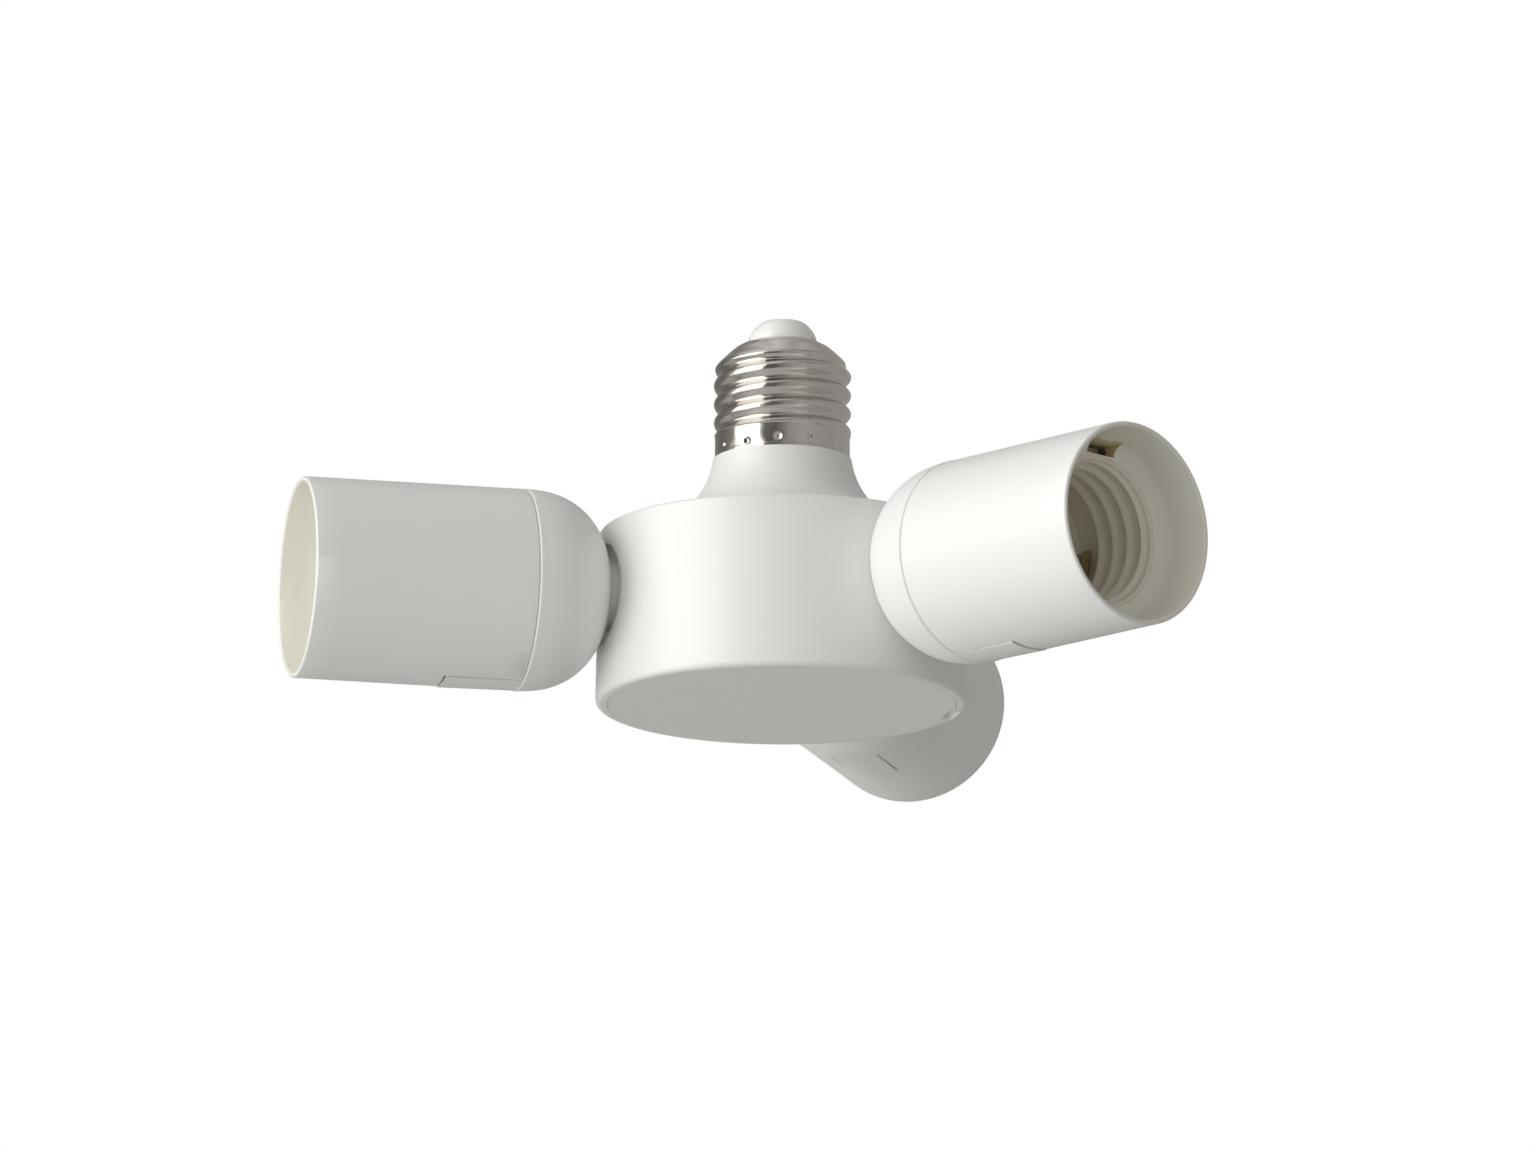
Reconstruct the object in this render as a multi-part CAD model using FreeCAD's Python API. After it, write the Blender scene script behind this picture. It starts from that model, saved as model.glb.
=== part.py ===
import FreeCAD, Part
import math
import os

# Three-way lamp socket splitter. A screw base on top carries a round flat housing,
# and three lamp holders stand out level from its wall, evenly spaced.
# Millimetres. The origin is the centre of the flat underside, +Z runs up through the screw base.

V = FreeCAD.Vector
UP = V(0, 0, 1)

# Round housing
disc_radius = 35.2
disc_draft = 0.5
disc_height = 33.0
disc_wall = 3.0
roof_wall = 2.2
bottom_round = 1.2
top_round = 0.8

# Neck that flares from the housing up to the screw base
neck_height = 14.6
flare_radius = 17.0
neck_ledge = 0.37
neck_wall = 2.2
post_bore_radius = 10.0

# Screw base: rolled sheet shell, right-hand lamp thread
thread_crest_radius = 13.05
thread_pitch = 3.629
thread_depth = 0.95
crest_land = 0.38
shell_wall = 0.35
skirt_radius = 12.8
skirt_height = 4.45
skirt_step = 0.3
thread_length = 12.0
thread_run_in = 0.12
thread_start_angle = 168.0
shoulder_height = 6.05
shoulder_radius = 13.0
rim_radius = 6.8
dimple_count = 13
dimple_radius = 1.0
dimple_depth = 0.35
dimple_start_angle = 282.5
dimple_drop = 0.3

# Insulating nose and the centre contact on its tip
nose_height = 4.05
nose_top_radius = 4.05
nose_curve_radius = 5.6
flange_radius = 10.9
post_top_drop = 0.8
contact_head_radius = 2.3
contact_crown = 0.2
contact_head_depth = 0.8
contact_shank_radius = 1.5
contact_tail = 2.0

# Snap-in bottom cover and the slot that it is pried open at
cover_thickness = 2.0
cover_seat = 0.8
clip_count = 3
clip_width = 8.0
clip_thickness = 1.4
clip_height = 6.0
clip_hook = 0.7
clip_hook_height = 1.6
pry_angle = 30.0
pry_length = 7.4
pry_width = 1.1
pry_bevel = 1.2

# Lamp holders: where they stand and their outside
arm_count = 3
first_arm_angle = 90.0
arm_height = 19.5
holder_radius = 19.0
mouth_draft = 0.1
seam_round = 0.4
dome_depth = 16.65
dome_fullness = 2.32
dome_stand = 0.66
dome_wall = 1.8
collar_radius = 6.8
seat_margin = 3.0
spigot_length = 6.0
spigot_wall = 1.5
sleeve_wall = 1.5
tongue_width = 8.6
tongue_length = 14.6
tongue_thickness = 1.3
tongue_side_gap = 0.35
tongue_end_gap = 0.6

# Lamp holders: the funnel inside the mouth
lip_round = 0.45
lip_wall = 1.0
funnel_foot_radius = 16.8
ledge_depth = 9.5
ledge_thickness = 2.0
ledge_round = 2.4
window_width = 7.0
window_height = 2.3
window_lug_set_back = 0.9
window_lug_root = 2.0

# Lamp holders: threaded insert
socket_thread_radius = 12.4
socket_thread_depth = 1.0
socket_thread_land = 0.5
socket_thread_length = 13.7
socket_thread_angle = 223.0
relief_radius = 13.7
relief_length = 4.5
nose_ring_radius = 14.1
nose_ring_length = 1.5
entry_radius = 13.5
entry_length = 1.6
insert_radius = 15.2
insert_floor = 3.0
insert_flange = 2.3
terminal_well_depth = 5.3
terminal_well_radius = 13.2

# Lamp holders: contacts and terminals
strip_thickness = 0.5
strip_bend = 0.45
centre_strip_width = 6.0
centre_leg_offset = 7.5
centre_foot = 2.2
centre_rise = 3.3
centre_overhang = 2.6
side_strip_width = 5.0
side_leg_radius = 12.5
side_bulge = 0.8
side_height = 4.2
side_angle = -8.0
leg_tail = 7.4
terminal_depth = 5.6
terminal_length = 6.0
terminal_width = 6.0
wire_hole_radius = 1.3
screw_radius = 1.45
screw_head_radius = 2.6
screw_head_height = 2.0

# Threaded nipple and lock nut that hold each lamp holder to the wall
nipple_radius = 5.0
nipple_bore_radius = 3.8
nipple_inside = 5.2
nipple_outside = 8.8
nut_across_flats = 14.0
nut_thickness = 3.0
boss_radius = 8.5
boss_depth = 3.4
dome_boss_radius = 8.0

# Wiring
wire_radius = 0.95
wire_spread = 1.7
splice_offset = 6.0
splice_radius = 3.8
splice_wall = 0.75
splice_height = 11.7
splice_floor = 1.5
splice_wire_ring = 2.0
neutral_notch_depth = 9.0
neutral_bend_depth = 4.2
live_rise = 7.0
wire_turn_room = 1.3
wire_fan_length = 4.5

# Clearances
fit_gap = 0.15
cover_gap = 0.08
stand_gap = 0.3
slide_gap = 0.05
cut_over = 1.0

# Heights up the screw base
neck_top = disc_height + neck_height
skirt_top = neck_top + skirt_height
thread_bottom = skirt_top + skirt_step
shoulder_bottom = thread_bottom + thread_length
shell_top = shoulder_bottom + shoulder_height
thread_root_radius = thread_crest_radius - thread_depth
shell_bore_radius = thread_root_radius - shell_wall
skirt_bore_radius = skirt_radius - shell_wall
post_top = shoulder_bottom + post_top_drop
nose_top = shell_top + nose_height

# Places along a lamp holder, measured from the middle of the housing
seat_radius = collar_radius + seat_margin
seat_reach = math.sqrt((disc_radius - disc_draft) ** 2 - seat_radius ** 2)
boss_face = disc_radius - disc_wall - boss_depth / 2
wire_turn_reach = boss_face - nipple_inside - wire_turn_room
live_wire_height = arm_height + live_rise
seam_reach = seat_reach + dome_stand + dome_depth + seam_round
spigot_end = seam_reach + spigot_length
sleeve_bore_radius = holder_radius - sleeve_wall
spigot_radius = sleeve_bore_radius - fit_gap * 2
insert_back = spigot_end
floor_back = insert_back + terminal_well_depth
floor_front = floor_back + insert_floor
thread_foot = floor_front + relief_length
insert_front = thread_foot + socket_thread_length
ledge_back = insert_front - nose_ring_length
ledge_front = ledge_back + ledge_thickness
mouth_reach = ledge_front + ledge_depth
window_low = nose_ring_radius + fit_gap + window_height / 10
window_high = window_low + window_height
arm_angles = [first_arm_angle + 360.0 * i / arm_count for i in range(arm_count)]


def save(name, shape):
    """Writes one piece to its own STEP file."""
    shape.exportStep("parts/" + name + ".step")


def polar(radius, angle, z=0.0):
    """A point at a radius and an angle in degrees about the Z axis."""
    a = math.radians(angle)
    return V(radius * math.cos(a), radius * math.sin(a), z)


def line(a, b):
    return Part.makeLine(V(*a), V(*b)) if isinstance(a, tuple) else Part.makeLine(a, b)


def up_point(radius, z):
    """A profile point for a turned piece that stands on the Z axis."""
    return V(radius, 0, z)


def arm_point(reach, radius):
    """A profile point for a turned piece that lies along a lamp holder's axis."""
    return V(reach, 0, arm_height + radius)


def arc_through(a, mid, b):
    return Part.Arc(a, mid, b).toShape()


def arc_between(a, b, radius, left=True):
    """The short arc of a given radius from a to b in the XZ plane, bulging left or right of a to b."""
    chord = b - a
    half = chord.Length / 2
    radius = max(radius, half)
    sagitta = radius - math.sqrt(radius * radius - half * half)
    side = V(-chord.z, 0, chord.x)
    side.normalize()
    middle = (a + b) * 0.5 + side * (sagitta if left else -sagitta)
    return arc_through(a, middle, b)


def turned(edges, centre, axis):
    """A solid of revolution from the closed profile that the edges make."""
    face = Part.Face(Part.Wire(Part.__sortEdges__(edges)))
    return face.revolve(centre, axis, 360)


def turned_up(edges):
    return turned(edges, V(0, 0, 0), UP)


def turned_arm(edges):
    return turned(edges, V(0, 0, arm_height), V(1, 0, 0))


def chain(points):
    """Straight edges from each point to the next."""
    return [line(a, b) for a, b in zip(points, points[1:])]


def ring(outer, inner, bottom, top):
    """An upright tube."""
    tube = Part.makeCylinder(outer, top - bottom, V(0, 0, bottom))
    return tube.cut(Part.makeCylinder(inner, top - bottom + 2 * cut_over, V(0, 0, bottom - cut_over)))


def arm_cylinder(radius, start, end):
    return Part.makeCylinder(radius, end - start, V(start, 0, arm_height), V(1, 0, 0))


def arm_box(start, end, half_width, low, high):
    """A block along the lamp holder, from low to high above its axis."""
    corner = V(start, -half_width, arm_height + low)
    return Part.makeBox(end - start, 2 * half_width, high - low, corner)


def around_arm(shape, angle):
    turned_copy = shape.copy()
    turned_copy.rotate(V(0, 0, arm_height), V(1, 0, 0), angle)
    return turned_copy


def on_arm(shape, angle):
    """A piece built along +X, swung to its lamp holder's direction."""
    swung = shape.copy()
    swung.rotate(V(0, 0, 0), UP, angle)
    return swung


def arm_to_part(reach, across, z, angle):
    """A point given along, across and up a lamp holder, in the part's own frame."""
    a = math.radians(angle)
    return V(
        reach * math.cos(a) - across * math.sin(a),
        reach * math.sin(a) + across * math.cos(a),
        z,
    )


def groove(radius, depth, land, turns, inward):
    """A helical cutter on the Z axis that leaves a land of a given width at the radius.

    Cutting inward makes an outside thread, and cutting outward an inside one.
    """
    side = -1 if inward else 1
    half = (thread_pitch - land) / 2
    skin = 0.05
    outline = [
        (radius - side * skin, half + skin * 1.3),
        (radius + side * depth * 0.14, half - depth * 0.33),
        (radius + side * depth * 0.6, half - depth * 0.84),
        (radius + side * depth, half * 0.18),
    ]
    outline += [(r, -z) for r, z in reversed(outline)]
    points = [up_point(r, z) for r, z in outline]
    section = Part.Wire(chain(points + points[:1]))
    path = Part.Wire(Part.makeHelix(thread_pitch, thread_pitch * turns, radius).Edges)
    return path.makePipeShell([section], True, True)


def threaded(body, radius, depth, land, start, turns, angle, inward):
    """Cuts the lamp thread into a turned body that stands on the Z axis.

    The groove's middle starts at a height and an angle. The blank's own seam may lie anywhere
    round it, so it is turned on until the groove comes out whole.
    """
    least = 0.3 * 2 * math.pi * radius * depth * thread_pitch * (turns - 1)
    cutter = groove(radius, depth, land, turns, inward)
    cutter.translate(V(0, 0, start))
    for seam in range(0, 360, 24):
        blank = body.copy()
        blank.rotate(V(0, 0, 0), UP, seam)
        cut = blank.cut(cutter)
        whole = cut.isValid() and len(cut.Solids) == 1
        if whole and body.Volume - cut.Volume > least:
            cut.rotate(V(0, 0, 0), UP, angle)
            return cut
    raise ValueError("the thread came out incomplete")


def lay_down(shape):
    """Tips an upright piece onto a lamp holder's axis: its height becomes its reach."""
    tipped = shape.copy()
    tipped.rotate(V(0, 0, 0), V(0, 1, 0), 90)
    tipped.translate(V(0, 0, arm_height))
    return tipped


def tube_along(points, radius):
    """A round wire: straight runs joined by arcs that touch both of them."""
    edges = []
    start = points[0]
    for before, corner, after in zip(points, points[1:], points[2:]):
        run_in = before - corner
        run_out = after - corner
        turn = math.pi - run_in.getAngle(run_out)
        bend = 0.45 * min(run_in.Length, run_out.Length) / math.tan(turn / 2)
        reach = bend * math.tan(turn / 2)
        run_in.normalize()
        run_out.normalize()
        tangent_in = corner + run_in * reach
        tangent_out = corner + run_out * reach
        inside = run_in + run_out
        inside.normalize()
        middle = corner + inside * (bend / math.cos(turn / 2) - bend)
        edges.append(line(start, tangent_in))
        edges.append(arc_through(tangent_in, middle, tangent_out))
        start = tangent_out
    edges.append(line(start, points[-1]))
    heading = points[1] - points[0]
    section = Part.Wire(Part.makeCircle(radius, points[0], heading))
    return Part.Wire(edges).makePipeShell([section], True, True)


def bent_strip(points, thickness, bend, width):
    """A folded strip of sheet: its centre line runs through points in the XY plane."""
    sides = ([], [])
    for i, point in enumerate(points):
        ahead = (points[i + 1] - point) if i + 1 < len(points) else None
        behind = (point - points[i - 1]) if i else None
        if ahead is None or behind is None:
            along = ahead or behind
            normal = V(-along.y, along.x, 0)
            normal.normalize()
            for side, sign in zip(sides, (1, -1)):
                side.append((point + normal * (sign * thickness / 2),))
            continue
        ahead.normalize()
        behind.normalize()
        cross = behind.x * ahead.y - behind.y * ahead.x
        turn = math.acos(max(-1.0, min(1.0, behind.dot(ahead))))
        reach = bend * math.tan(turn / 2)
        normal_in = V(-behind.y, behind.x, 0) * (1 if cross > 0 else -1)
        centre = point - behind * reach + normal_in * bend
        normal_out = V(-ahead.y, ahead.x, 0) * (1 if cross > 0 else -1)
        middle_dir = (normal_in + normal_out) * -1
        middle_dir.normalize()
        for side, sign in zip(sides, (1, -1)):
            inner = (sign > 0) == (cross > 0)
            r = bend - thickness / 2 if inner else bend + thickness / 2
            side.append((centre - normal_in * r, centre + middle_dir * r, centre - normal_out * r))
    edges = []
    ends = []
    for side in sides:
        last = None
        for station in side:
            if last is not None:
                edges.append(line(last, station[0]))
            if len(station) == 3:
                edges.append(arc_through(*station))
            last = station[-1]
        ends.append((side[0][0], last))
    edges.append(line(ends[0][0], ends[1][0]))
    edges.append(line(ends[0][1], ends[1][1]))
    face = Part.Face(Part.Wire(Part.__sortEdges__(edges)))
    strip = face.extrude(V(0, 0, width))
    strip.translate(V(0, 0, -width / 2))
    return strip


def shoulder_centre():
    """The centre of the arc that rounds the shell from its top crest to its rim."""
    a = V(thread_crest_radius, 0, shoulder_bottom)
    b = V(rim_radius, 0, shell_top)
    chord = b - a
    rise = math.sqrt(shoulder_radius ** 2 - (chord.Length / 2) ** 2)
    inward = V(-chord.z, 0, chord.x)
    inward.normalize()
    return (a + b) * 0.5 + inward * rise


def shoulder_point(radius, arc_radius):
    """The point at a radius from the Z axis on an arc about the shoulder's centre."""
    centre = shoulder_centre()
    return up_point(radius, centre.z + math.sqrt(arc_radius ** 2 - (radius - centre.x) ** 2))


def dimples(radius_extra):
    """One ball for each crimp mark round the skirt."""
    ball_centre = skirt_radius + dimple_radius - dimple_depth
    height = neck_top + skirt_height / 2 - dimple_drop
    balls = []
    for i in range(dimple_count):
        spot = polar(ball_centre, dimple_start_angle + 360.0 * i / dimple_count, height)
        balls.append(Part.makeSphere(dimple_radius + radius_extra, spot))
    return Part.makeCompound(balls)


def housing():
    """The moulded body: round wall, roof, flared neck and the post inside the screw shell."""
    flare_centre_z = disc_height + flare_radius
    neck_radius = skirt_radius + neck_ledge
    rise = flare_radius - neck_height
    foot_radius = neck_radius + math.sqrt(flare_radius ** 2 - rise ** 2)
    inner_flare = flare_radius + neck_wall
    inner_neck_radius = foot_radius - math.sqrt(inner_flare ** 2 - rise ** 2)
    low = math.cos(math.radians(45))

    top_edge = disc_radius - disc_draft
    recess_radius = disc_radius - disc_wall + cover_seat
    wall_radius = disc_radius - disc_wall
    roof = disc_height - roof_wall
    post_skirt_radius = skirt_bore_radius - fit_gap
    post_radius = shell_bore_radius - fit_gap

    flare_middle = up_point(foot_radius - flare_radius * low, flare_centre_z - flare_radius * low)
    inner_middle = up_point(foot_radius - inner_flare * low, flare_centre_z - inner_flare * low)
    rounding = 1 - low

    edges = [
        line(up_point(recess_radius, 0), up_point(disc_radius - bottom_round, 0)),
        arc_through(
            up_point(disc_radius - bottom_round, 0),
            up_point(disc_radius - bottom_round * rounding, bottom_round * rounding),
            up_point(disc_radius, bottom_round),
        ),
        line(up_point(disc_radius, bottom_round), up_point(top_edge, disc_height - top_round)),
        arc_through(
            up_point(top_edge, disc_height - top_round),
            up_point(top_edge - top_round * rounding, disc_height - top_round * rounding),
            up_point(top_edge - top_round, disc_height),
        ),
        line(up_point(top_edge - top_round, disc_height), up_point(foot_radius, disc_height)),
        arc_through(up_point(foot_radius, disc_height), flare_middle, up_point(neck_radius, neck_top)),
    ]
    edges += chain([
        up_point(neck_radius, neck_top),
        up_point(post_skirt_radius, neck_top),
        up_point(post_skirt_radius, skirt_top - shell_wall),
        up_point(post_radius, thread_bottom),
        up_point(post_radius, post_top),
        up_point(post_bore_radius, post_top),
        up_point(post_bore_radius, neck_top),
        up_point(inner_neck_radius, neck_top),
    ])
    inner_neck = up_point(inner_neck_radius, neck_top)
    edges.append(arc_through(inner_neck, inner_middle, up_point(foot_radius, roof)))
    edges += chain([
        up_point(foot_radius, roof),
        up_point(wall_radius, roof),
        up_point(wall_radius, cover_thickness),
        up_point(recess_radius, cover_thickness),
        up_point(recess_radius, 0),
    ])
    body = turned_up(edges)

    for angle in arm_angles:
        boss = arm_cylinder(boss_radius, boss_face, disc_radius - disc_wall / 2)
        body = body.fuse(on_arm(boss, angle))
    for angle in arm_angles:
        seat = arm_cylinder(seat_radius, seat_reach, disc_radius + cut_over)
        hole = arm_cylinder(nipple_radius + slide_gap, boss_face - cut_over, disc_radius + cut_over)
        body = body.cut(on_arm(seat.fuse(hole), angle))

    hook_low = cover_thickness + clip_height - clip_hook_height - stand_gap
    hook_high = cover_thickness + clip_height + stand_gap
    body = body.cut(ring(wall_radius + clip_hook, wall_radius - cut_over, hook_low, hook_high))

    notch_width = 2 * (wire_radius + fit_gap)
    notch_low = post_top - neutral_notch_depth
    notch = Part.makeBox(post_radius + cut_over, notch_width, post_top, V(0, -notch_width / 2, notch_low))
    notch.rotate(V(0, 0, 0), UP, neutral_lead_angle())
    body = body.cut(notch)
    body = body.cut(dimples(fit_gap + shell_wall))
    return body.cut(pry_scoop())


def pry_scoop():
    """The bevelled scoop in the housing's rim that a screwdriver blade goes into."""
    recess_radius = disc_radius - disc_wall + cover_seat
    outline = [
        up_point(recess_radius - cut_over, -cut_over),
        up_point(recess_radius + pry_bevel + cut_over / 2, -cut_over),
        up_point(recess_radius + pry_bevel, 0),
        up_point(recess_radius, cover_thickness * 0.8),
        up_point(recess_radius - cut_over, cover_thickness * 0.8),
    ]
    face = Part.Face(Part.Wire(chain(outline + outline[:1])))
    scoop = face.extrude(V(0, pry_length, 0))
    scoop.translate(V(0, -pry_length / 2, 0))
    scoop.rotate(V(0, 0, 0), UP, pry_angle)
    return scoop


def bottom_cover():
    """The flat round cover, with its snap clips and the slit at its edge."""
    cover_radius = disc_radius - disc_wall + cover_seat - cover_gap
    wall_radius = disc_radius - disc_wall
    plate = Part.makeCylinder(cover_radius, cover_thickness)
    for i in range(clip_count):
        clip_radius = wall_radius - cover_gap
        top = cover_thickness + clip_height
        finger = ring(clip_radius, clip_radius - clip_thickness, cover_thickness / 2, top)
        hook = ring(clip_radius + clip_hook, clip_radius - clip_thickness, top - clip_hook_height, top)
        width = Part.makeBox(disc_radius, clip_width, 2 * top, V(0, -clip_width / 2, 0))
        clip = finger.fuse(hook).common(width)
        clip.rotate(V(0, 0, 0), UP, pry_angle + 360.0 * i / clip_count)
        plate = plate.fuse(clip)
    slit_start = V(cover_radius - pry_width, -pry_length / 2, -cut_over)
    slit = Part.makeBox(2 * pry_width, pry_length, cover_thickness * 0.8 + cut_over, slit_start)
    slit.rotate(V(0, 0, 0), UP, pry_angle)
    return plate.cut(slit).removeSplitter()


def screw_shell():
    """The thin rolled shell: crimped skirt, four turns of lamp thread and a rounded shoulder."""
    crest = up_point(thread_crest_radius, shoulder_bottom)
    rim = up_point(rim_radius, shell_top)
    inner_radius = shoulder_radius - shell_wall
    inner_rim = shoulder_point(rim_radius, inner_radius)
    inner_start = shoulder_point(shell_bore_radius, inner_radius)

    edges = chain([
        up_point(skirt_bore_radius, neck_top),
        up_point(skirt_radius, neck_top),
        up_point(skirt_radius, skirt_top),
        up_point(thread_crest_radius, thread_bottom),
        crest,
    ])
    edges.append(arc_between(crest, rim, shoulder_radius, left=False))
    edges.append(line(rim, inner_rim))
    edges.append(arc_between(inner_rim, inner_start, inner_radius))
    edges += chain([
        inner_start,
        up_point(shell_bore_radius, thread_bottom),
        up_point(skirt_bore_radius, skirt_top - shell_wall),
        up_point(skirt_bore_radius, neck_top),
    ])
    shell = turned_up(edges)

    start = thread_bottom + thread_pitch * thread_run_in
    turns = thread_length / thread_pitch + 1
    shell = threaded(
        shell, thread_crest_radius, thread_depth, crest_land, start, turns, thread_start_angle, inward=True
    )

    skirt_inside = ring(skirt_radius - shell_wall / 2, post_bore_radius, neck_top, skirt_top)
    bumps = dimples(shell_wall).common(skirt_inside)
    return shell.fuse(bumps).cut(dimples(0)).removeSplitter()


def contact_insulator():
    """The moulded nose: a flange under the shell's shoulder and a rounded tip through its rim."""
    inner_radius = shoulder_radius - shell_wall - fit_gap
    neck_radius = rim_radius - fit_gap
    flange_top = shoulder_point(flange_radius, inner_radius)
    neck_foot = shoulder_point(neck_radius, inner_radius)
    nose_foot = up_point(neck_radius, shell_top)
    nose_tip = up_point(nose_top_radius, nose_top)
    edges = chain([up_point(0, post_top), up_point(flange_radius, post_top), flange_top])
    edges.append(arc_between(flange_top, neck_foot, inner_radius, left=False))
    edges.append(line(neck_foot, nose_foot))
    edges.append(arc_between(nose_foot, nose_tip, nose_curve_radius, left=False))
    edges += chain([nose_tip, up_point(0, nose_top), up_point(0, post_top)])
    body = turned_up(edges)
    hole = Part.makeCylinder(contact_shank_radius + slide_gap, nose_top, V(0, 0, post_top - cut_over))
    sink_radius = contact_head_radius + slide_gap
    sink = Part.makeCylinder(sink_radius, nose_top, V(0, 0, nose_top - contact_head_depth))
    return body.cut(hole).cut(sink)


def centre_contact():
    """The rivet in the tip, with a low crown that meets the holder's spring."""
    low = nose_top - contact_head_depth
    tail = post_top - contact_tail
    crown = nose_top + contact_crown
    edges = chain([
        up_point(0, tail),
        up_point(contact_shank_radius, tail),
        up_point(contact_shank_radius, low),
        up_point(contact_head_radius, low),
        up_point(contact_head_radius, nose_top),
    ])
    crown_radius = (contact_head_radius ** 2 + contact_crown ** 2) / (2 * contact_crown)
    head_edge = up_point(contact_head_radius, nose_top)
    edges.append(arc_between(head_edge, up_point(0, crown), crown_radius, left=False))
    edges.append(line(up_point(0, crown), up_point(0, tail)))
    return turned_up(edges)


def dome_arc(centre_reach, reach_axis, radius_axis, from_radius, to_radius):
    """A stretch of the dome's profile between two radii, fuller than an ellipse by its exponent."""
    power = 2 / dome_fullness
    start, end = [math.acos((r / radius_axis) ** (1 / power)) for r in (from_radius, to_radius)]
    points = []
    for i in range(13):
        a = start + (end - start) * i / 12
        reach = centre_reach - reach_axis * math.sin(a) ** power
        points.append(arm_point(reach, radius_axis * max(0.0, math.cos(a)) ** power))
    curve = Part.BSplineCurve()
    curve.interpolate(points)
    return curve.toShape(), points[0], points[-1]


def seam_edges(seam, outward):
    """The rounded edge of a holder's half where it meets the other at the seam."""
    low = math.cos(math.radians(45))
    centre = seam + outward * seam_round
    outer = arm_point(centre, holder_radius)
    middle = arm_point(centre - outward * seam_round * low, holder_radius - seam_round * (1 - low))
    return arc_through(outer, middle, arm_point(seam, holder_radius - seam_round))


def dome_cap():
    """The rounded back of a lamp holder, with the spigot and the latch tongue that hold the sleeve."""
    inner_depth = dome_depth - dome_wall
    inner_axis = holder_radius - dome_wall
    spigot_bore = spigot_radius - spigot_wall
    outer, outer_seam, outer_collar = dome_arc(
        seam_reach - seam_round, dome_depth, holder_radius, holder_radius, collar_radius
    )
    inner, inner_rim, inner_boss = dome_arc(
        seam_reach - seam_round, inner_depth, inner_axis, spigot_bore, dome_boss_radius
    )
    boss_end = seat_reach + nipple_outside + slide_gap
    bore = nipple_radius + slide_gap
    edges = chain([
        arm_point(seat_reach, bore),
        arm_point(seat_reach, collar_radius),
        outer_collar,
    ])
    edges.append(outer)
    edges.append(seam_edges(seam_reach, -1))
    edges += chain([
        arm_point(seam_reach, holder_radius - seam_round),
        arm_point(seam_reach, spigot_radius),
        arm_point(spigot_end, spigot_radius),
        arm_point(spigot_end, spigot_bore),
        inner_rim,
    ])
    edges.append(inner)
    edges += chain([
        inner_boss,
        arm_point(boss_end, dome_boss_radius),
        arm_point(boss_end, bore),
        arm_point(seat_reach, bore),
    ])
    body = turned_arm(edges)
    tongue_end = seam_reach + tongue_length
    outside = arm_cylinder(holder_radius - fit_gap, seam_reach - seam_round, tongue_end)
    inside = arm_cylinder(holder_radius - tongue_thickness, seam_reach - dome_wall, tongue_end + cut_over)
    reach = arm_box(seam_reach - dome_wall, tongue_end, tongue_width / 2, -holder_radius - cut_over, 0)
    return body.fuse(outside.cut(inside).common(reach)).removeSplitter()


def sleeve():
    """The straight skirt of a lamp holder, with the funnel and windowed ledge inside its mouth."""
    mouth_radius = holder_radius - mouth_draft
    lip_radius = mouth_radius - lip_wall
    slope = (lip_radius - funnel_foot_radius) / ledge_depth
    low = math.cos(math.radians(45))
    hole_radius = nose_ring_radius + fit_gap
    round_end = arm_point(ledge_front, funnel_foot_radius - ledge_round)
    round_start = arm_point(ledge_front + ledge_round, funnel_foot_radius + slope * ledge_round)
    round_middle = arm_point(
        ledge_front + ledge_round * (1 - low), funnel_foot_radius - ledge_round * (1 - low)
    )
    lip_middle = arm_point(mouth_reach, mouth_radius - lip_wall / 2)
    edges = [
        seam_edges(seam_reach, 1),
        line(
            arm_point(seam_reach + seam_round, holder_radius),
            arm_point(mouth_reach - lip_round, mouth_radius),
        ),
    ]
    edges.append(arc_through(
        arm_point(mouth_reach - lip_round, mouth_radius),
        lip_middle,
        arm_point(mouth_reach - lip_round, lip_radius),
    ))
    edges.append(line(arm_point(mouth_reach - lip_round, lip_radius), round_start))
    edges.append(arc_through(round_start, round_middle, round_end))
    edges += chain([
        round_end,
        arm_point(ledge_front, hole_radius),
        arm_point(ledge_back, hole_radius),
        arm_point(ledge_back, sleeve_bore_radius),
        arm_point(seam_reach, sleeve_bore_radius),
        arm_point(seam_reach, holder_radius - seam_round),
    ])
    body = turned_arm(edges)
    slot_end = seam_reach + tongue_length + tongue_end_gap
    slot_half = tongue_width / 2 + tongue_side_gap
    slot = arm_box(seam_reach - cut_over, slot_end, slot_half, -holder_radius - cut_over, 0)
    body = body.cut(slot)
    for low_side, high_side in ((window_low, window_high), (-window_high, -window_low)):
        window = arm_box(ledge_back - cut_over, mouth_reach, window_width / 2, low_side, high_side)
        body = body.cut(window)
    return body


def window_lugs():
    """The insert's two snap lugs, which stand in the windows of the sleeve's ledge."""
    start = ledge_back - window_lug_root
    end = ledge_front - window_lug_set_back
    half_width = window_width / 2 - fit_gap
    low = window_low + fit_gap
    high = window_high - fit_gap
    above = arm_box(start, end, half_width, low, high)
    return above.fuse(arm_box(start, end, half_width, -high, -low))


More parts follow.
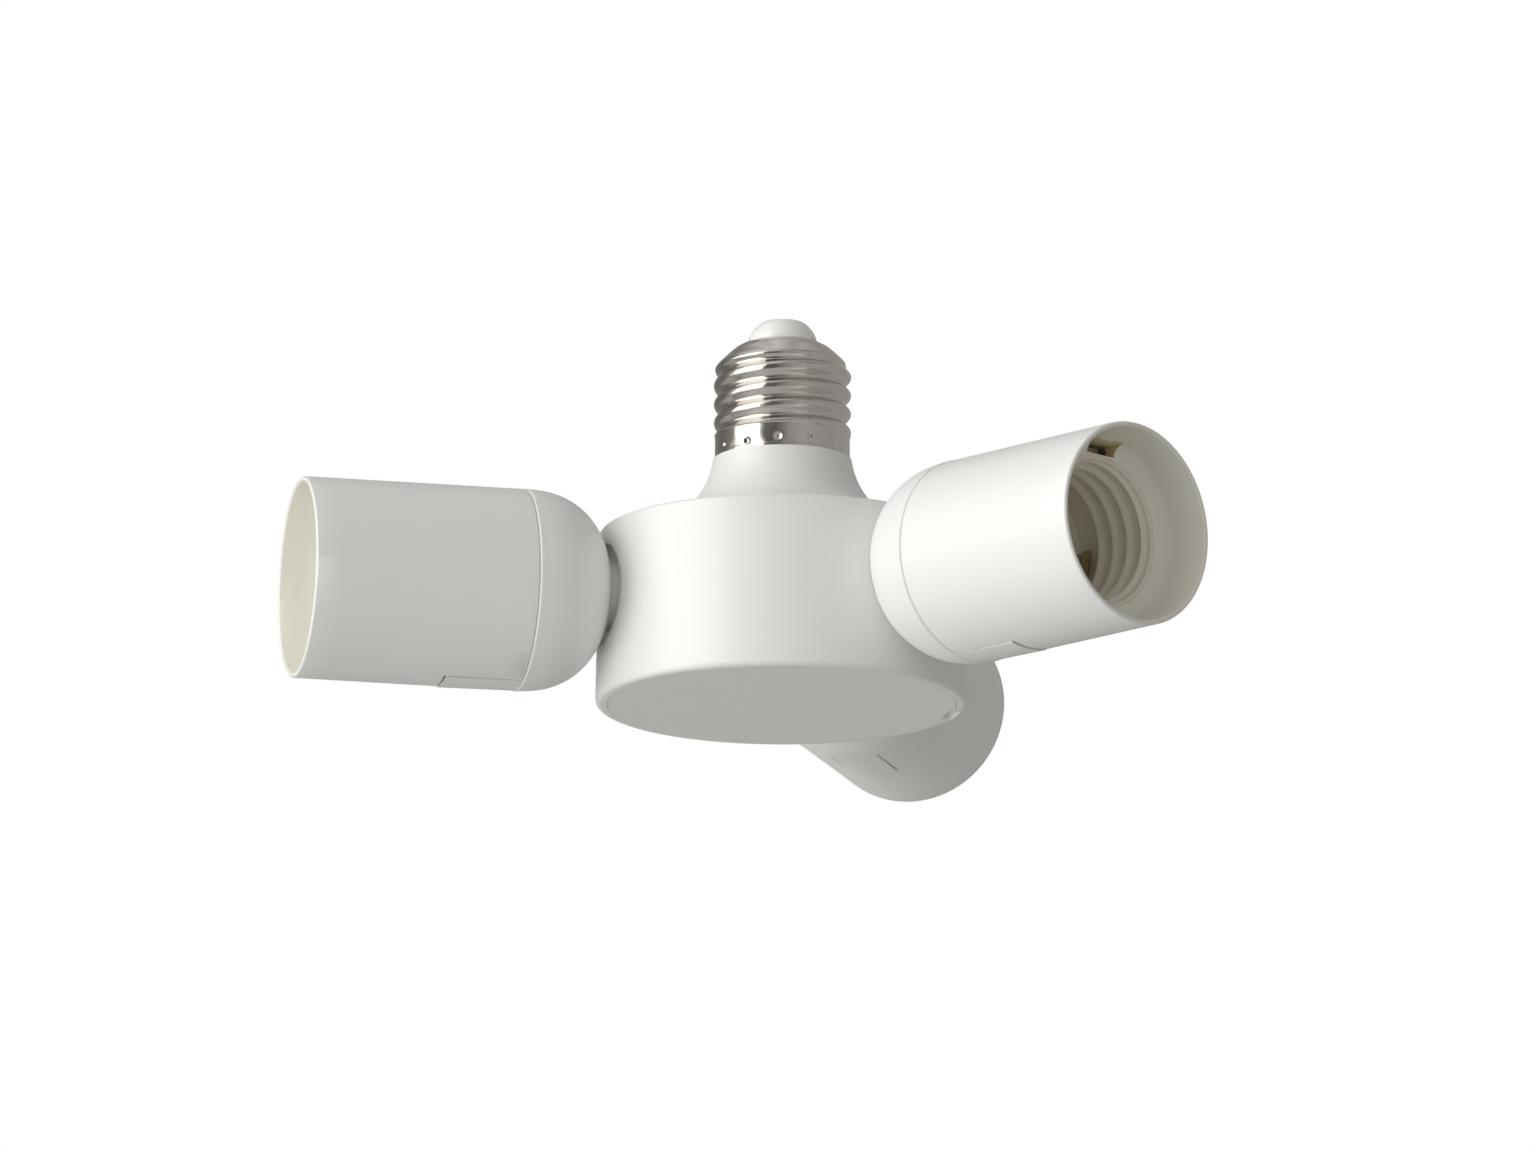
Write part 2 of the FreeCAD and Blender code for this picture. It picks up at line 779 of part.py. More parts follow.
def lamp_insert():
    """The moulded insert that a lamp screws into: inside thread, floor and terminal well."""
    flange_radius_here = sleeve_bore_radius - fit_gap * 2
    edges = chain([
        up_point(terminal_well_radius, insert_back),
        up_point(flange_radius_here, insert_back),
        up_point(flange_radius_here, insert_back + insert_flange),
        up_point(insert_radius, insert_back + insert_flange),
        up_point(insert_radius, ledge_back),
        up_point(nose_ring_radius, ledge_back),
        up_point(nose_ring_radius, insert_front),
        up_point(entry_radius, insert_front),
        up_point(entry_radius, insert_front - entry_length),
        up_point(socket_thread_radius, insert_front - entry_length),
        up_point(socket_thread_radius, thread_foot),
        up_point(relief_radius, thread_foot),
        up_point(relief_radius, floor_front),
        up_point(0, floor_front),
        up_point(0, floor_back),
        up_point(terminal_well_radius, floor_back),
        up_point(terminal_well_radius, insert_back),
    ])
    start = thread_foot - 0.6 * thread_pitch
    turns = socket_thread_length / thread_pitch + 1.2
    body = threaded(
        turned_up(edges),
        socket_thread_radius,
        socket_thread_depth,
        socket_thread_land,
        start,
        turns,
        socket_thread_angle,
        inward=False,
    )
    return lay_down(body).fuse(window_lugs()).cut(strip_slots()).removeSplitter()


def strip_slots():
    """Slits in the insert's floor: each contact's leg lies against the outer wall of its own."""
    start = floor_back - cut_over
    length = insert_floor + 2 * cut_over
    depth = strip_thickness + fit_gap
    centre_width = centre_strip_width + 2 * slide_gap
    centre_low = -centre_leg_offset - strip_thickness / 2
    centre_corner = V(start, centre_low, arm_height - centre_width / 2)
    centre_slit = Part.makeBox(length, depth, centre_width, centre_corner)
    side_width = side_strip_width + 2 * slide_gap
    side_low = side_leg_radius + strip_thickness / 2 - depth
    side_corner = V(start, side_low, arm_height - side_width / 2)
    side_slit = Part.makeBox(length, depth, side_width, side_corner)
    return centre_slit.fuse(around_arm(side_slit, side_angle))


def centre_spring():
    """The bent leaf that meets a lamp's centre contact."""
    lift = floor_front + strip_bend + slide_gap
    points = [
        V(floor_back - leg_tail, -centre_leg_offset, 0),
        V(lift, -centre_leg_offset, 0),
        V(lift, -centre_leg_offset + centre_foot, 0),
        V(lift + centre_rise, 0, 0),
        V(lift + centre_rise - 1.0, centre_overhang, 0),
    ]
    strip = bent_strip(points, strip_thickness, strip_bend, centre_strip_width)
    strip.translate(V(0, 0, arm_height))
    return strip


def side_spring():
    """The bent leaf that meets the side of a lamp's screw shell."""
    points = [
        V(floor_back - leg_tail, side_leg_radius, 0),
        V(floor_front + side_height * 0.35, side_leg_radius, 0),
        V(floor_front + side_height * 0.75, side_leg_radius - side_bulge, 0),
        V(floor_front + side_height, side_leg_radius - side_bulge * 0.5, 0),
    ]
    strip = bent_strip(points, strip_thickness, strip_bend, side_strip_width)
    strip.translate(V(0, 0, arm_height))
    return around_arm(strip, side_angle)


def terminal(across, angle):
    """A brass clamp block against a contact's leg, bored for the wire and the screw."""
    start = floor_back - terminal_length
    corner = V(start, across - terminal_depth / 2, arm_height - terminal_width / 2)
    block = Part.makeBox(terminal_length, terminal_depth, terminal_width, corner)
    wire_hole = Part.makeCylinder(
        wire_hole_radius, terminal_length - cut_over, V(start - cut_over, across, arm_height), V(1, 0, 0)
    )
    screw_hole = Part.makeCylinder(
        screw_radius + slide_gap, terminal_width, V(start + terminal_length / 2, across, arm_height)
    )
    return around_arm(block.cut(wire_hole).cut(screw_hole), angle)


def terminal_screw(across, angle):
    """A slotted pan-head screw that stops just short of the wire."""
    middle = floor_back - terminal_length / 2
    head_low = arm_height + terminal_width / 2
    tip = arm_height + wire_radius + slide_gap
    shank = Part.makeCylinder(screw_radius, head_low - tip, V(middle, across, tip))
    head = Part.makeCylinder(screw_head_radius, screw_head_height, V(middle, across, head_low))
    slot_width = screw_head_height / 3
    slot_corner = V(middle - slot_width / 2, across - screw_head_radius, head_low + screw_head_height * 0.6)
    slot = Part.makeBox(slot_width, 2 * screw_head_radius, screw_head_height, slot_corner)
    return around_arm(shank.fuse(head).cut(slot).removeSplitter(), angle)


live_terminal_across = -centre_leg_offset + strip_thickness / 2 + terminal_depth / 2
neutral_terminal_across = side_leg_radius - strip_thickness / 2 - terminal_depth / 2


def nipple():
    """The threaded tube that clamps a lamp holder to the housing wall."""
    start = boss_face - nipple_inside
    end = seat_reach + nipple_outside
    bore = arm_cylinder(nipple_bore_radius, start - cut_over, end + cut_over)
    return arm_cylinder(nipple_radius, start, end).cut(bore)


def lock_nut():
    """The hexagon nut on the nipple, inside the housing."""
    corner_radius = nut_across_flats / 2 / math.cos(math.radians(30))
    start = boss_face - nut_thickness
    points = []
    for i in range(7):
        a = math.radians(60 * i + 30)
        points.append(V(start, corner_radius * math.cos(a), arm_height + corner_radius * math.sin(a)))
    body = Part.Face(Part.Wire(chain(points))).extrude(V(nut_thickness, 0, 0))
    return body.cut(arm_cylinder(nipple_radius + slide_gap, start - cut_over, boss_face + cut_over))


def splice_centre(live):
    return V(splice_offset if live else -splice_offset, 0, 0)


def splice(live):
    """A closed-end crimp cap that joins one lead of the base to the three of the holders."""
    centre = splice_centre(live) + V(0, 0, cover_thickness)
    body = Part.makeCylinder(splice_radius, splice_height, centre)
    well = Part.makeCylinder(splice_radius - splice_wall, splice_height, centre + V(0, 0, splice_floor))
    return body.cut(well)


def lead_foot(live, angle):
    """Where a wire starts inside its crimp cap, on the side that it leaves to."""
    middle = cover_thickness + splice_height / 2
    return splice_centre(live) + polar(splice_wire_ring, angle, middle)


def base_lead_angle(live):
    return 30.0 if live else 150.0


def neutral_lead_angle():
    """The direction in which the neutral lead leaves the post to meet the shell."""
    foot = lead_foot(False, base_lead_angle(False))
    return math.degrees(math.atan2(foot.y, foot.x))


def base_live_lead():
    """From the crimp cap up the neck to the rivet in the tip."""
    foot = lead_foot(True, base_lead_angle(True))
    tail = post_top - contact_tail
    bend_height = neck_top + skirt_height
    points = [
        foot,
        V(foot.x, foot.y, bend_height),
        V(0, 0, bend_height + 0.45 * (tail - bend_height)),
        V(0, 0, tail),
    ]
    return tube_along(points, wire_radius)


def base_neutral_lead():
    """From the crimp cap up the neck and out through the post's notch to the shell."""
    foot = lead_foot(False, base_lead_angle(False))
    wire_line = shell_bore_radius - slide_gap - wire_radius
    bend_height = post_top - neutral_notch_depth
    bent = polar(wire_line, neutral_lead_angle(), post_top - neutral_bend_depth)
    points = [
        foot,
        V(foot.x, foot.y, bend_height),
        bent,
        V(bent.x, bent.y, post_top - fit_gap),
    ]
    return tube_along(points, wire_radius)


def holder_lead(live, angle):
    """From the crimp cap, over the housing floor and through the nipple to the terminal."""
    foot = lead_foot(live, angle)
    side = -1 if live else 1
    height = live_wire_height if live else arm_height
    spread = side * wire_spread
    block_start = floor_back - terminal_length
    reach = block_start + terminal_length * 0.6
    if live:
        across, rise = live_terminal_across, 0.0
    else:
        a = math.radians(side_angle)
        across = neutral_terminal_across * math.cos(a)
        rise = neutral_terminal_across * math.sin(a)
    points = [foot, V(foot.x, foot.y, height)]
    if live:
        points.append(arm_to_part(wire_turn_reach * 0.55, spread * -0.2, height - 1.5, angle))
    points += [
        arm_to_part(wire_turn_reach, spread, arm_height, angle),
        arm_to_part(seat_reach + nipple_outside, spread, arm_height, angle),
        arm_to_part(block_start - wire_fan_length * 0.35, across, arm_height + rise, angle),
        arm_to_part(reach, across, arm_height + rise, angle),
    ]
    if not live:
        points.pop(2)
        points.insert(2, arm_to_part(wire_turn_reach, spread, arm_height, angle))
    return tube_along(points, wire_radius)


def main():
    os.makedirs("parts", exist_ok=True)
    save("housing", housing())
    save("bottom_cover", bottom_cover())
    save("screw_shell", screw_shell())
    save("contact_insulator", contact_insulator())
    save("centre_contact", centre_contact())
    save("live_splice", splice(True))
    save("neutral_splice", splice(False))
    save("base_live_lead", base_live_lead())
    save("base_neutral_lead", base_neutral_lead())

    arm_pieces = {
        "dome_cap": dome_cap(),
        "sleeve": sleeve(),
        "lamp_insert": lamp_insert(),
        "centre_spring": centre_spring(),
        "side_spring": side_spring(),
        "live_terminal": terminal(live_terminal_across, 0),
        "neutral_terminal": terminal(neutral_terminal_across, side_angle),
        "nipple": nipple(),
        "lock_nut": lock_nut(),
    }
    screws = []
    for number, angle in enumerate(arm_angles, start=1):
        for name, shape in arm_pieces.items():
            save(name + "_" + str(number), on_arm(shape, angle))
        save("live_lead_" + str(number), holder_lead(True, angle))
        save("neutral_lead_" + str(number), holder_lead(False, angle))
        screws.append(on_arm(terminal_screw(live_terminal_across, 0), angle))
        screws.append(on_arm(terminal_screw(neutral_terminal_across, side_angle), angle))
    save("terminal_screws", Part.makeCompound(screws))


main()
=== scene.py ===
import math

import bmesh
import bpy
from mathutils import Matrix, Vector


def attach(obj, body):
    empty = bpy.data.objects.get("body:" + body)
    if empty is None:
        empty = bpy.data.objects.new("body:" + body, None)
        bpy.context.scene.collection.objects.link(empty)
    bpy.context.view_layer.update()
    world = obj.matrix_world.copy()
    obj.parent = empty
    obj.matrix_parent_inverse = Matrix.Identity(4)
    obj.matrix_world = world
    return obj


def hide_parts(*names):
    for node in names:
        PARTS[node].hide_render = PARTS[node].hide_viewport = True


# The lamp splitter as photographed: seen from a little below, on white, in soft light from the left.
# Metres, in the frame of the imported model. Sizes that belong to the object are written in millimetres.

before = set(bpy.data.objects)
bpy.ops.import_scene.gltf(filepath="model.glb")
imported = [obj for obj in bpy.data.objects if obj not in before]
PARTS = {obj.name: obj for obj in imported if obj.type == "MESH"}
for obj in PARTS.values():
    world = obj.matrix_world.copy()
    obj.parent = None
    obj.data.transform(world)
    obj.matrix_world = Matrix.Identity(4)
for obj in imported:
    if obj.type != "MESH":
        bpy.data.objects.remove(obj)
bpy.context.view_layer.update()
MM = 0.001

# The three lamp holders: where they point, how high their axes lie, and the thread of every lamp
ARM_ANGLES = (90.0, 210.0, 330.0)
ARM_HEIGHT = 19.5
HOLDERS = (1, 2, 3)
THREAD_PITCH = 3.629


# Colour and node helpers


def linear(code):
    """An sRGB hex colour as the linear RGBA that shaders take."""
    channels = [int(code[i:i + 2], 16) / 255 for i in (1, 3, 5)]
    return tuple(c / 12.92 if c <= 0.04045 else ((c + 0.055) / 1.055) ** 2.4 for c in channels) + (1.0,)


def add(tree, kind, settings=None, links=None):
    """Adds a node, sets its properties and sockets, and links what feeds it."""
    made = tree.nodes.new(kind)
    for key, value in (settings or {}).items():
        if isinstance(key, str) and hasattr(made, key):
            setattr(made, key, value)
        else:
            made.inputs[key].default_value = value
    for key, source in (links or {}).items():
        tree.links.new(source, made.inputs[key])
    return made


def new_material(name):
    """An empty node material with its output, and the object's own coordinates."""
    material = bpy.data.materials.new(name)
    material.use_nodes = True
    tree = material.node_tree
    tree.nodes.clear()
    output = add(tree, "ShaderNodeOutputMaterial")
    where = add(tree, "ShaderNodeTexCoord").outputs["Object"]
    return material, tree, output, where


# Sizes of the patterns in the finishes, in millimetres. The plastic's grain is drawn coarser than a
# satin mould's, so that it shows.
CLOUD_MM = 22
GRAIN_MM = 0.35
HAZE_MM = 6
WAVINESS_MM = 3.2


def moulded_plastic(name, colour, tint, roughness, ior=1.58, grain_mm=GRAIN_MM, relief_mm=0.004):
    """Injection-moulded plastic: an even colour, a faint cloud in its gloss and the tool's fine grain."""
    material, tree, output, where = new_material(name)
    cloud = add(
        tree,
        "ShaderNodeTexNoise",
        {"Scale": 1 / (CLOUD_MM * MM), "Detail": 3.0, "Roughness": 0.55},
        {"Vector": where},
    )
    grain = add(
        tree,
        "ShaderNodeTexNoise",
        {"Scale": 1 / (grain_mm * MM), "Detail": 2.0},
        {"Vector": where},
    )
    shade = add(
        tree,
        "ShaderNodeMix",
        {"data_type": "RGBA", 6: linear(colour), 7: linear(tint)},
        {0: cloud.outputs["Fac"]},
    )
    gloss = add(
        tree,
        "ShaderNodeMapRange",
        {"From Min": 0.3, "From Max": 0.7, "To Min": roughness - 0.04, "To Max": roughness + 0.05},
        {"Value": cloud.outputs["Fac"]},
    )
    bump = add(
        tree,
        "ShaderNodeBump",
        {"Strength": 0.5, "Distance": relief_mm * MM},
        {"Height": grain.outputs["Fac"]},
    )
    surface = add(
        tree,
        "ShaderNodeBsdfPrincipled",
        {"IOR": ior},
        {
            "Base Color": shade.outputs[2],
            "Roughness": gloss.outputs["Result"],
            "Normal": bump.outputs["Normal"],
        },
    )
    tree.links.new(surface.outputs["BSDF"], output.inputs["Surface"])
    return material


def worked_metal(name, colour, dull, roughness, line_mm, lines, relief_mm=0.002, waves_mm=0.0):
    """Sheet or turned metal: fine tool lines, a breath of haze, and waves where it is rolled."""
    material, tree, output, where = new_material(name)
    stretch = add(tree, "ShaderNodeMapping", {"Scale": lines}, {"Vector": where})
    drawn = add(
        tree,
        "ShaderNodeTexNoise",
        {"Scale": 1 / (line_mm * MM), "Detail": 3.0, "Roughness": 0.6},
        {"Vector": stretch.outputs["Vector"]},
    )
    haze = add(
        tree,
        "ShaderNodeTexNoise",
        {"Scale": 1 / (HAZE_MM * MM), "Detail": 4.0, "Roughness": 0.6},
        {"Vector": where},
    )
    shade = add(
        tree,
        "ShaderNodeMix",
        {"data_type": "RGBA", 6: linear(colour), 7: linear(dull)},
        {0: haze.outputs["Fac"]},
    )
    gloss = add(
        tree,
        "ShaderNodeMapRange",
        {"From Min": 0.3, "From Max": 0.7, "To Min": roughness - 0.05, "To Max": roughness + 0.07},
        {"Value": haze.outputs["Fac"]},
    )
    bump = add(
        tree,
        "ShaderNodeBump",
        {"Strength": 0.4, "Distance": relief_mm * MM},
        {"Height": drawn.outputs["Fac"]},
    )
    if waves_mm:
        uneven = add(
            tree,
            "ShaderNodeTexNoise",
            {"Scale": 1 / (WAVINESS_MM * MM), "Detail": 1.5},
            {"Vector": where},
        )
        bump = add(
            tree,
            "ShaderNodeBump",
            {"Strength": 1.0, "Distance": waves_mm * MM},
            {"Height": uneven.outputs["Fac"], "Normal": bump.outputs["Normal"]},
        )
    surface = add(
        tree,
        "ShaderNodeBsdfPrincipled",
        {"Metallic": 1.0},
        {
            "Base Color": shade.outputs[2],
            "Roughness": gloss.outputs["Result"],
            "Normal": bump.outputs["Normal"],
        },
    )
    tree.links.new(surface.outputs["BSDF"], output.inputs["Surface"])
    return material


# Materials, each named for what the real piece is made of

# White polycarbonate with a fine satin grain: bright, with a soft highlight that spreads on the rounds.
WHITE_POLYCARBONATE = moulded_plastic("white_polycarbonate", "#F1F1EF", "#EEEEEC", 0.36)
# The same moulding inside a holder's mouth, a little yellower and duller, and painted darker there as shade
# in the hollow.
MOUTH_SHADE_POLYCARBONATE = moulded_plastic("mouth_painted_shade", "#EEECE3", "#EAE8DE", 0.5)
# Round the latch windows it is painted browner and darker as shade, so that their walls read darker than
# the mouth.
WINDOW_SHADE_POLYCARBONATE = moulded_plastic("window_painted_shade", "#DDD0A8", "#D2C49A", 0.5)
# Glass-filled polyester for the insert: as warm as the tint inside the mouth, with a coarser, duller skin.
FILLED_POLYESTER = moulded_plastic(
    "filled_polyester", "#ECE7DC", "#E4DED1", 0.46, grain_mm=0.5, relief_mm=0.006
)
# Urea moulding in the base's nose: whiter and glossier than the housing.
UREA_INSULATOR = moulded_plastic("urea_insulator", "#FAF9F7", "#F6F5F2", 0.26, ior=1.6, relief_mm=0.002)
# Nickel-plated rolled brass: warm grey, with fine lines and uneven waves from the rolling.
PLATED_NICKEL = worked_metal(
    "plated_nickel", "#D2CDC7", "#C0BBB5", 0.16, 2.0, (1.0, 1.0, 24.0), relief_mm=0.001, waves_mm=0.17
)
# Bare spring brass of the contacts and clamp blocks: dull yellow with drawn lines.
SPRING_BRASS = worked_metal("spring_brass", "#BFAE8A", "#A79873", 0.34, 1.2, (1.0, 1.0, 8.0))
# Zinc-plated steel of nipples, nuts and screws: a cool, soft grey.
ZINC_STEEL = worked_metal("zinc_steel", "#C4C6C8", "#AEB1B4", 0.32, 1.0, (6.0, 6.0, 1.0))
# Tinned brass of the rivet head in the tip: pale, hazy and without a direction.
TINNED_BRASS = worked_metal("tinned_brass", "#CFCBC2", "#B9B4A8", 0.34, 0.8, (1.0, 1.0, 1.0))
# Nylon crimp caps, and PVC insulation of the leads in the colours of live and neutral.
NYLON_CAP = moulded_plastic("nylon_cap", "#D9D6CE", "#CFCBC1", 0.5, ior=1.53)
BROWN_PVC = moulded_plastic("brown_pvc", "#5A321C", "#4E2A17", 0.42, ior=1.53)
BLUE_PVC = moulded_plastic("blue_pvc", "#2E5FA6", "#28548F", 0.42, ior=1.53)

FINISHES = {
    "housing": WHITE_POLYCARBONATE,
    "bottom_cover": WHITE_POLYCARBONATE,
    "dome_cap": WHITE_POLYCARBONATE,
    "sleeve": WHITE_POLYCARBONATE,
    "lamp_insert": FILLED_POLYESTER,
    "contact_insulator": UREA_INSULATOR,
    "screw_shell": PLATED_NICKEL,
    "centre_contact": TINNED_BRASS,
    "centre_spring": SPRING_BRASS,
    "side_spring": SPRING_BRASS,
    "live_terminal": SPRING_BRASS,
    "neutral_terminal": SPRING_BRASS,
    "nipple": ZINC_STEEL,
    "lock_nut": ZINC_STEEL,
    "terminal_screws": ZINC_STEEL,
    "live_splice": NYLON_CAP,
    "neutral_splice": NYLON_CAP,
    "base_live_lead": BROWN_PVC,
    "live_lead": BROWN_PVC,
    "base_neutral_lead": BLUE_PVC,
    "neutral_lead": BLUE_PVC,
}


def finish_of(node):
    """The finish of a node, whose name ends in its holder's number where there are three of it."""
    return FINISHES[node if node in FINISHES else node.rsplit("_", 1)[0]]


# Making and placing pieces


def place(name, mesh, material, slot_name, *stands_for):
    """Links a finished mesh at the origin, gives it its material and hides the nodes that it stands for."""
    piece = bpy.data.objects.new(name, mesh)
    bpy.context.scene.collection.objects.link(piece)
    mesh.materials.clear()
    mesh.materials.append(material)
    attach(piece, "root")
    if stands_for:
        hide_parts(*stands_for)
    return piece


# Points nearer to each other than this are one point. Millimetres.
WELD = 0.002


def smoothed(mesh, sharp_from):
    """Welds a mesh and shades it smooth up to an angle, past which an edge stays crisp."""
    work = bmesh.new()
    work.from_mesh(mesh)
    bmesh.ops.remove_doubles(work, verts=work.verts, dist=WELD * MM)
    for face in work.faces:
        face.smooth = True
    limit = math.radians(sharp_from)
    for edge in work.edges:
        edge.smooth = len(edge.link_faces) == 2 and edge.calc_face_angle(0.0) < limit
    work.to_mesh(mesh)
    work.free()
    for layer in ("custom_normal", "sharp_face"):
        if layer in mesh.attributes:
            mesh.attributes.remove(mesh.attributes[layer])
    return mesh


# Degrees between two faces past which an edge stays crisp: on moulded copies, and on turned skins
MOULDING_CREASE = 32
TURNED_CREASE = 40


def holder_frame(number):
    """From a holder's own frame to the part's: X across, Y up and Z out along the holder's axis."""
    angle = math.radians(ARM_ANGLES[number - 1])
    across = Vector((-math.sin(angle), math.cos(angle), 0.0))
    along = Vector((math.cos(angle), math.sin(angle), 0.0))
    turned = Matrix((across, Vector((0.0, 0.0, 1.0)), along)).transposed().to_4x4()
    return Matrix.Translation((0.0, 0.0, ARM_HEIGHT * MM)) @ turned


def refine(node, slot_name, change=None):
    """A welded, smoothly shaded copy of a node stands in for it, changed in its holder's frame if asked."""
    mesh = smoothed(PARTS[node].data.copy(), MOULDING_CREASE)
    mesh.name = node + "_moulding"
    place(node + "_moulding", mesh, finish_of(node), slot_name, node)
    if change:
        change(mesh, holder_frame(int(node[-1])))


# The cap's seam edge and latch tongue, by reach along a holder's axis and radius about it. A band or a
# skin is how far from an edge or a surface a point may lie and still belong to it.
SEAM_REACH = 50.997
SEAM_EDGE = SEAM_REACH - 0.2
SEAM_BAND = 0.25
SEAM_SKIN = 0.3
SEAM_STEP = 0.12
TONGUE_TIP = 65.6
TONGUE_BAND = 0.2
TONGUE_SKIN = 0.1
TONGUE_RADIUS = 18.85
TONGUE_SPRING = 0.32


def lift_tongue(mesh, holder):
    """The cap's seam edge stands just proud of the sleeve, and its latch tongue springs out at the tip."""
    back = holder.inverted()
    for vertex in mesh.vertices:
        x, y, z = (c / MM for c in back @ vertex.co)
        radius = math.hypot(x, y)
        if abs(z - SEAM_EDGE) < SEAM_BAND and radius > TONGUE_RADIUS - SEAM_SKIN:
            grow = (radius + SEAM_STEP) / radius
            vertex.co = holder @ (Vector((x * grow, y * grow, z)) * MM)
        if z > TONGUE_TIP - TONGUE_BAND and y < 0 and radius > TONGUE_RADIUS - TONGUE_SKIN:
            grow = (TONGUE_RADIUS + TONGUE_SPRING) / radius
            vertex.co = holder @ (Vector((x * grow, y * grow, z)) * MM)


# The latch windows above and below a holder's axis, and what counts as a wall of them
WINDOW_HALF_WIDTH = 3.6
WINDOW_INNER = 14.3
WINDOW_OUTER = 16.9
WINDOW_BACK = 77.0
WALL_FACING = 0.7
MOUTH_RADIUS = 18.55


def in_window(spot):
    """Whether a place in a holder's frame, in millimetres, is in one of its two latch windows."""
    beside = abs(spot.x) < WINDOW_HALF_WIDTH
    return beside and WINDOW_INNER < abs(spot.y) < WINDOW_OUTER and spot.z > WINDOW_BACK


def paint_mouth_shade(mesh, holder):
    """The faces inside a sleeve take the mouth's painted shade, and those of its windows the darker painted
    shade.
    """
    mesh.materials.append(MOUTH_SHADE_POLYCARBONATE)
    mesh.materials.append(WINDOW_SHADE_POLYCARBONATE)
    back = holder.inverted()
    for face in mesh.polygons:
        middle = back @ face.center / MM
        corners = [(back @ mesh.vertices[i].co) / MM for i in face.vertices]
        if max(math.hypot(c.x, c.y) for c in corners) < MOUTH_RADIUS and middle.z > SEAM_REACH:
            face.material_index = 1
            facing = back.to_3x3() @ face.normal
            if in_window(middle) and max(abs(facing.x), abs(facing.y)) > WALL_FACING:
                face.material_index = 2


# Turned skins


def rounded(outline, steps):
    """The closed outline of (radius, height, bend) corners, with each corner rounded by its bend."""
    out = []
    for i, (radius, height, bend) in enumerate(outline):
        if not bend:
            out.append((radius, height))
            continue
        before = Vector(outline[i - 1][:2])
        after = Vector(outline[(i + 1) % len(outline)][:2])
        here = Vector((radius, height))
        run_in = (before - here).normalized()
        run_out = (after - here).normalized()
        half = run_in.angle(run_out) / 2
        reach = min(bend / math.tan(half), 0.49 * (before - here).length, 0.49 * (after - here).length)
        centre = here + (run_in + run_out).normalized() * (reach * math.tan(half) / math.sin(half))
        first = here + run_in * reach - centre
        last = here + run_out * reach - centre
        turn = first.angle_signed(last)
        for k in range(steps + 1):
            spot = first.copy()
            spot.rotate(Matrix.Rotation(-turn * k / steps, 2))
            out.append(tuple(centre + spot))
    return out


def divided(points, step, wanted=None):
    """The same closed polyline with its long edges, or only the wanted ones, divided to about a step."""
    out = []
    for start, end in zip(points, points[1:] + points[:1]):
        count = max(1, math.ceil((Vector(end) - Vector(start)).length / step))
        if wanted and not wanted(start, end):
            count = 1
        across = end[0] - start[0]
        up = end[1] - start[1]
        out += [(start[0] + across * k / count, start[1] + up * k / count) for k in range(count)]
    return out


def spun(profile, segments):
    """A closed skin of revolution about Z from a closed profile of (radius, height)."""
    mesh = bpy.data.meshes.new("spun")
    work = bmesh.new()
    rings = []
    for radius, height in profile:
        ring = []
        for i in range(segments):
            angle = 2 * math.pi * i / segments
            across = radius * MM * math.cos(angle)
            deep = radius * MM * math.sin(angle)
            ring.append(work.verts.new((across, deep, height * MM)))
        rings.append(ring)
    for low, high in zip(rings, rings[1:] + rings[:1]):
        for i in range(segments):
            j = (i + 1) % segments
            work.faces.new((low[i], low[j], high[j], high[i]))
    work.to_mesh(mesh)
    work.free()
    return mesh


# Rolled thread: one tree of Geometry Nodes serves the base's shell and the holders' inserts

FULL_TURN = 2 * math.pi

# The tree's inputs, in metres and radians, with the values that they keep where a piece gives none
THREAD_INPUTS = (
    ("Pitch", THREAD_PITCH * MM),
    ("Depth", 0.95 * MM),
    ("Thread Low", 0.0),
    ("Thread High", 0.01),
    ("Run In", 1.0 * MM),
    ("Run Out", 1.0 * MM),
    ("Crest Height", 0.0),
    ("Crest Angle", 0.0),
    ("Least Radius", 0.0),
    ("Most Radius", 1.0),
    ("Crest Sharpness", 1.0),
    ("Crimp Count", 13.0),
    ("Crimp Angle", 0.0),
    ("Crimp Height", 0.0),
    ("Crimp Size", 0.8 * MM),
    ("Crimp Depth", 0.0),
    ("Crimp Drift", 0.0),
)
CRIMP_SEED = 1543
SIZE_SEED_STEP = 100
CRIMP_SIZE_SPREAD = 0.45
# Keeps a point on the axis from being divided by nothing. Metres.
AXIS_GUARD = 0.0001

MATH = "ShaderNodeMath"
MAP_RANGE = "ShaderNodeMapRange"
RANDOM_VALUE = "FunctionNodeRandomValue"
RESULT_AT = {RANDOM_VALUE: 1}

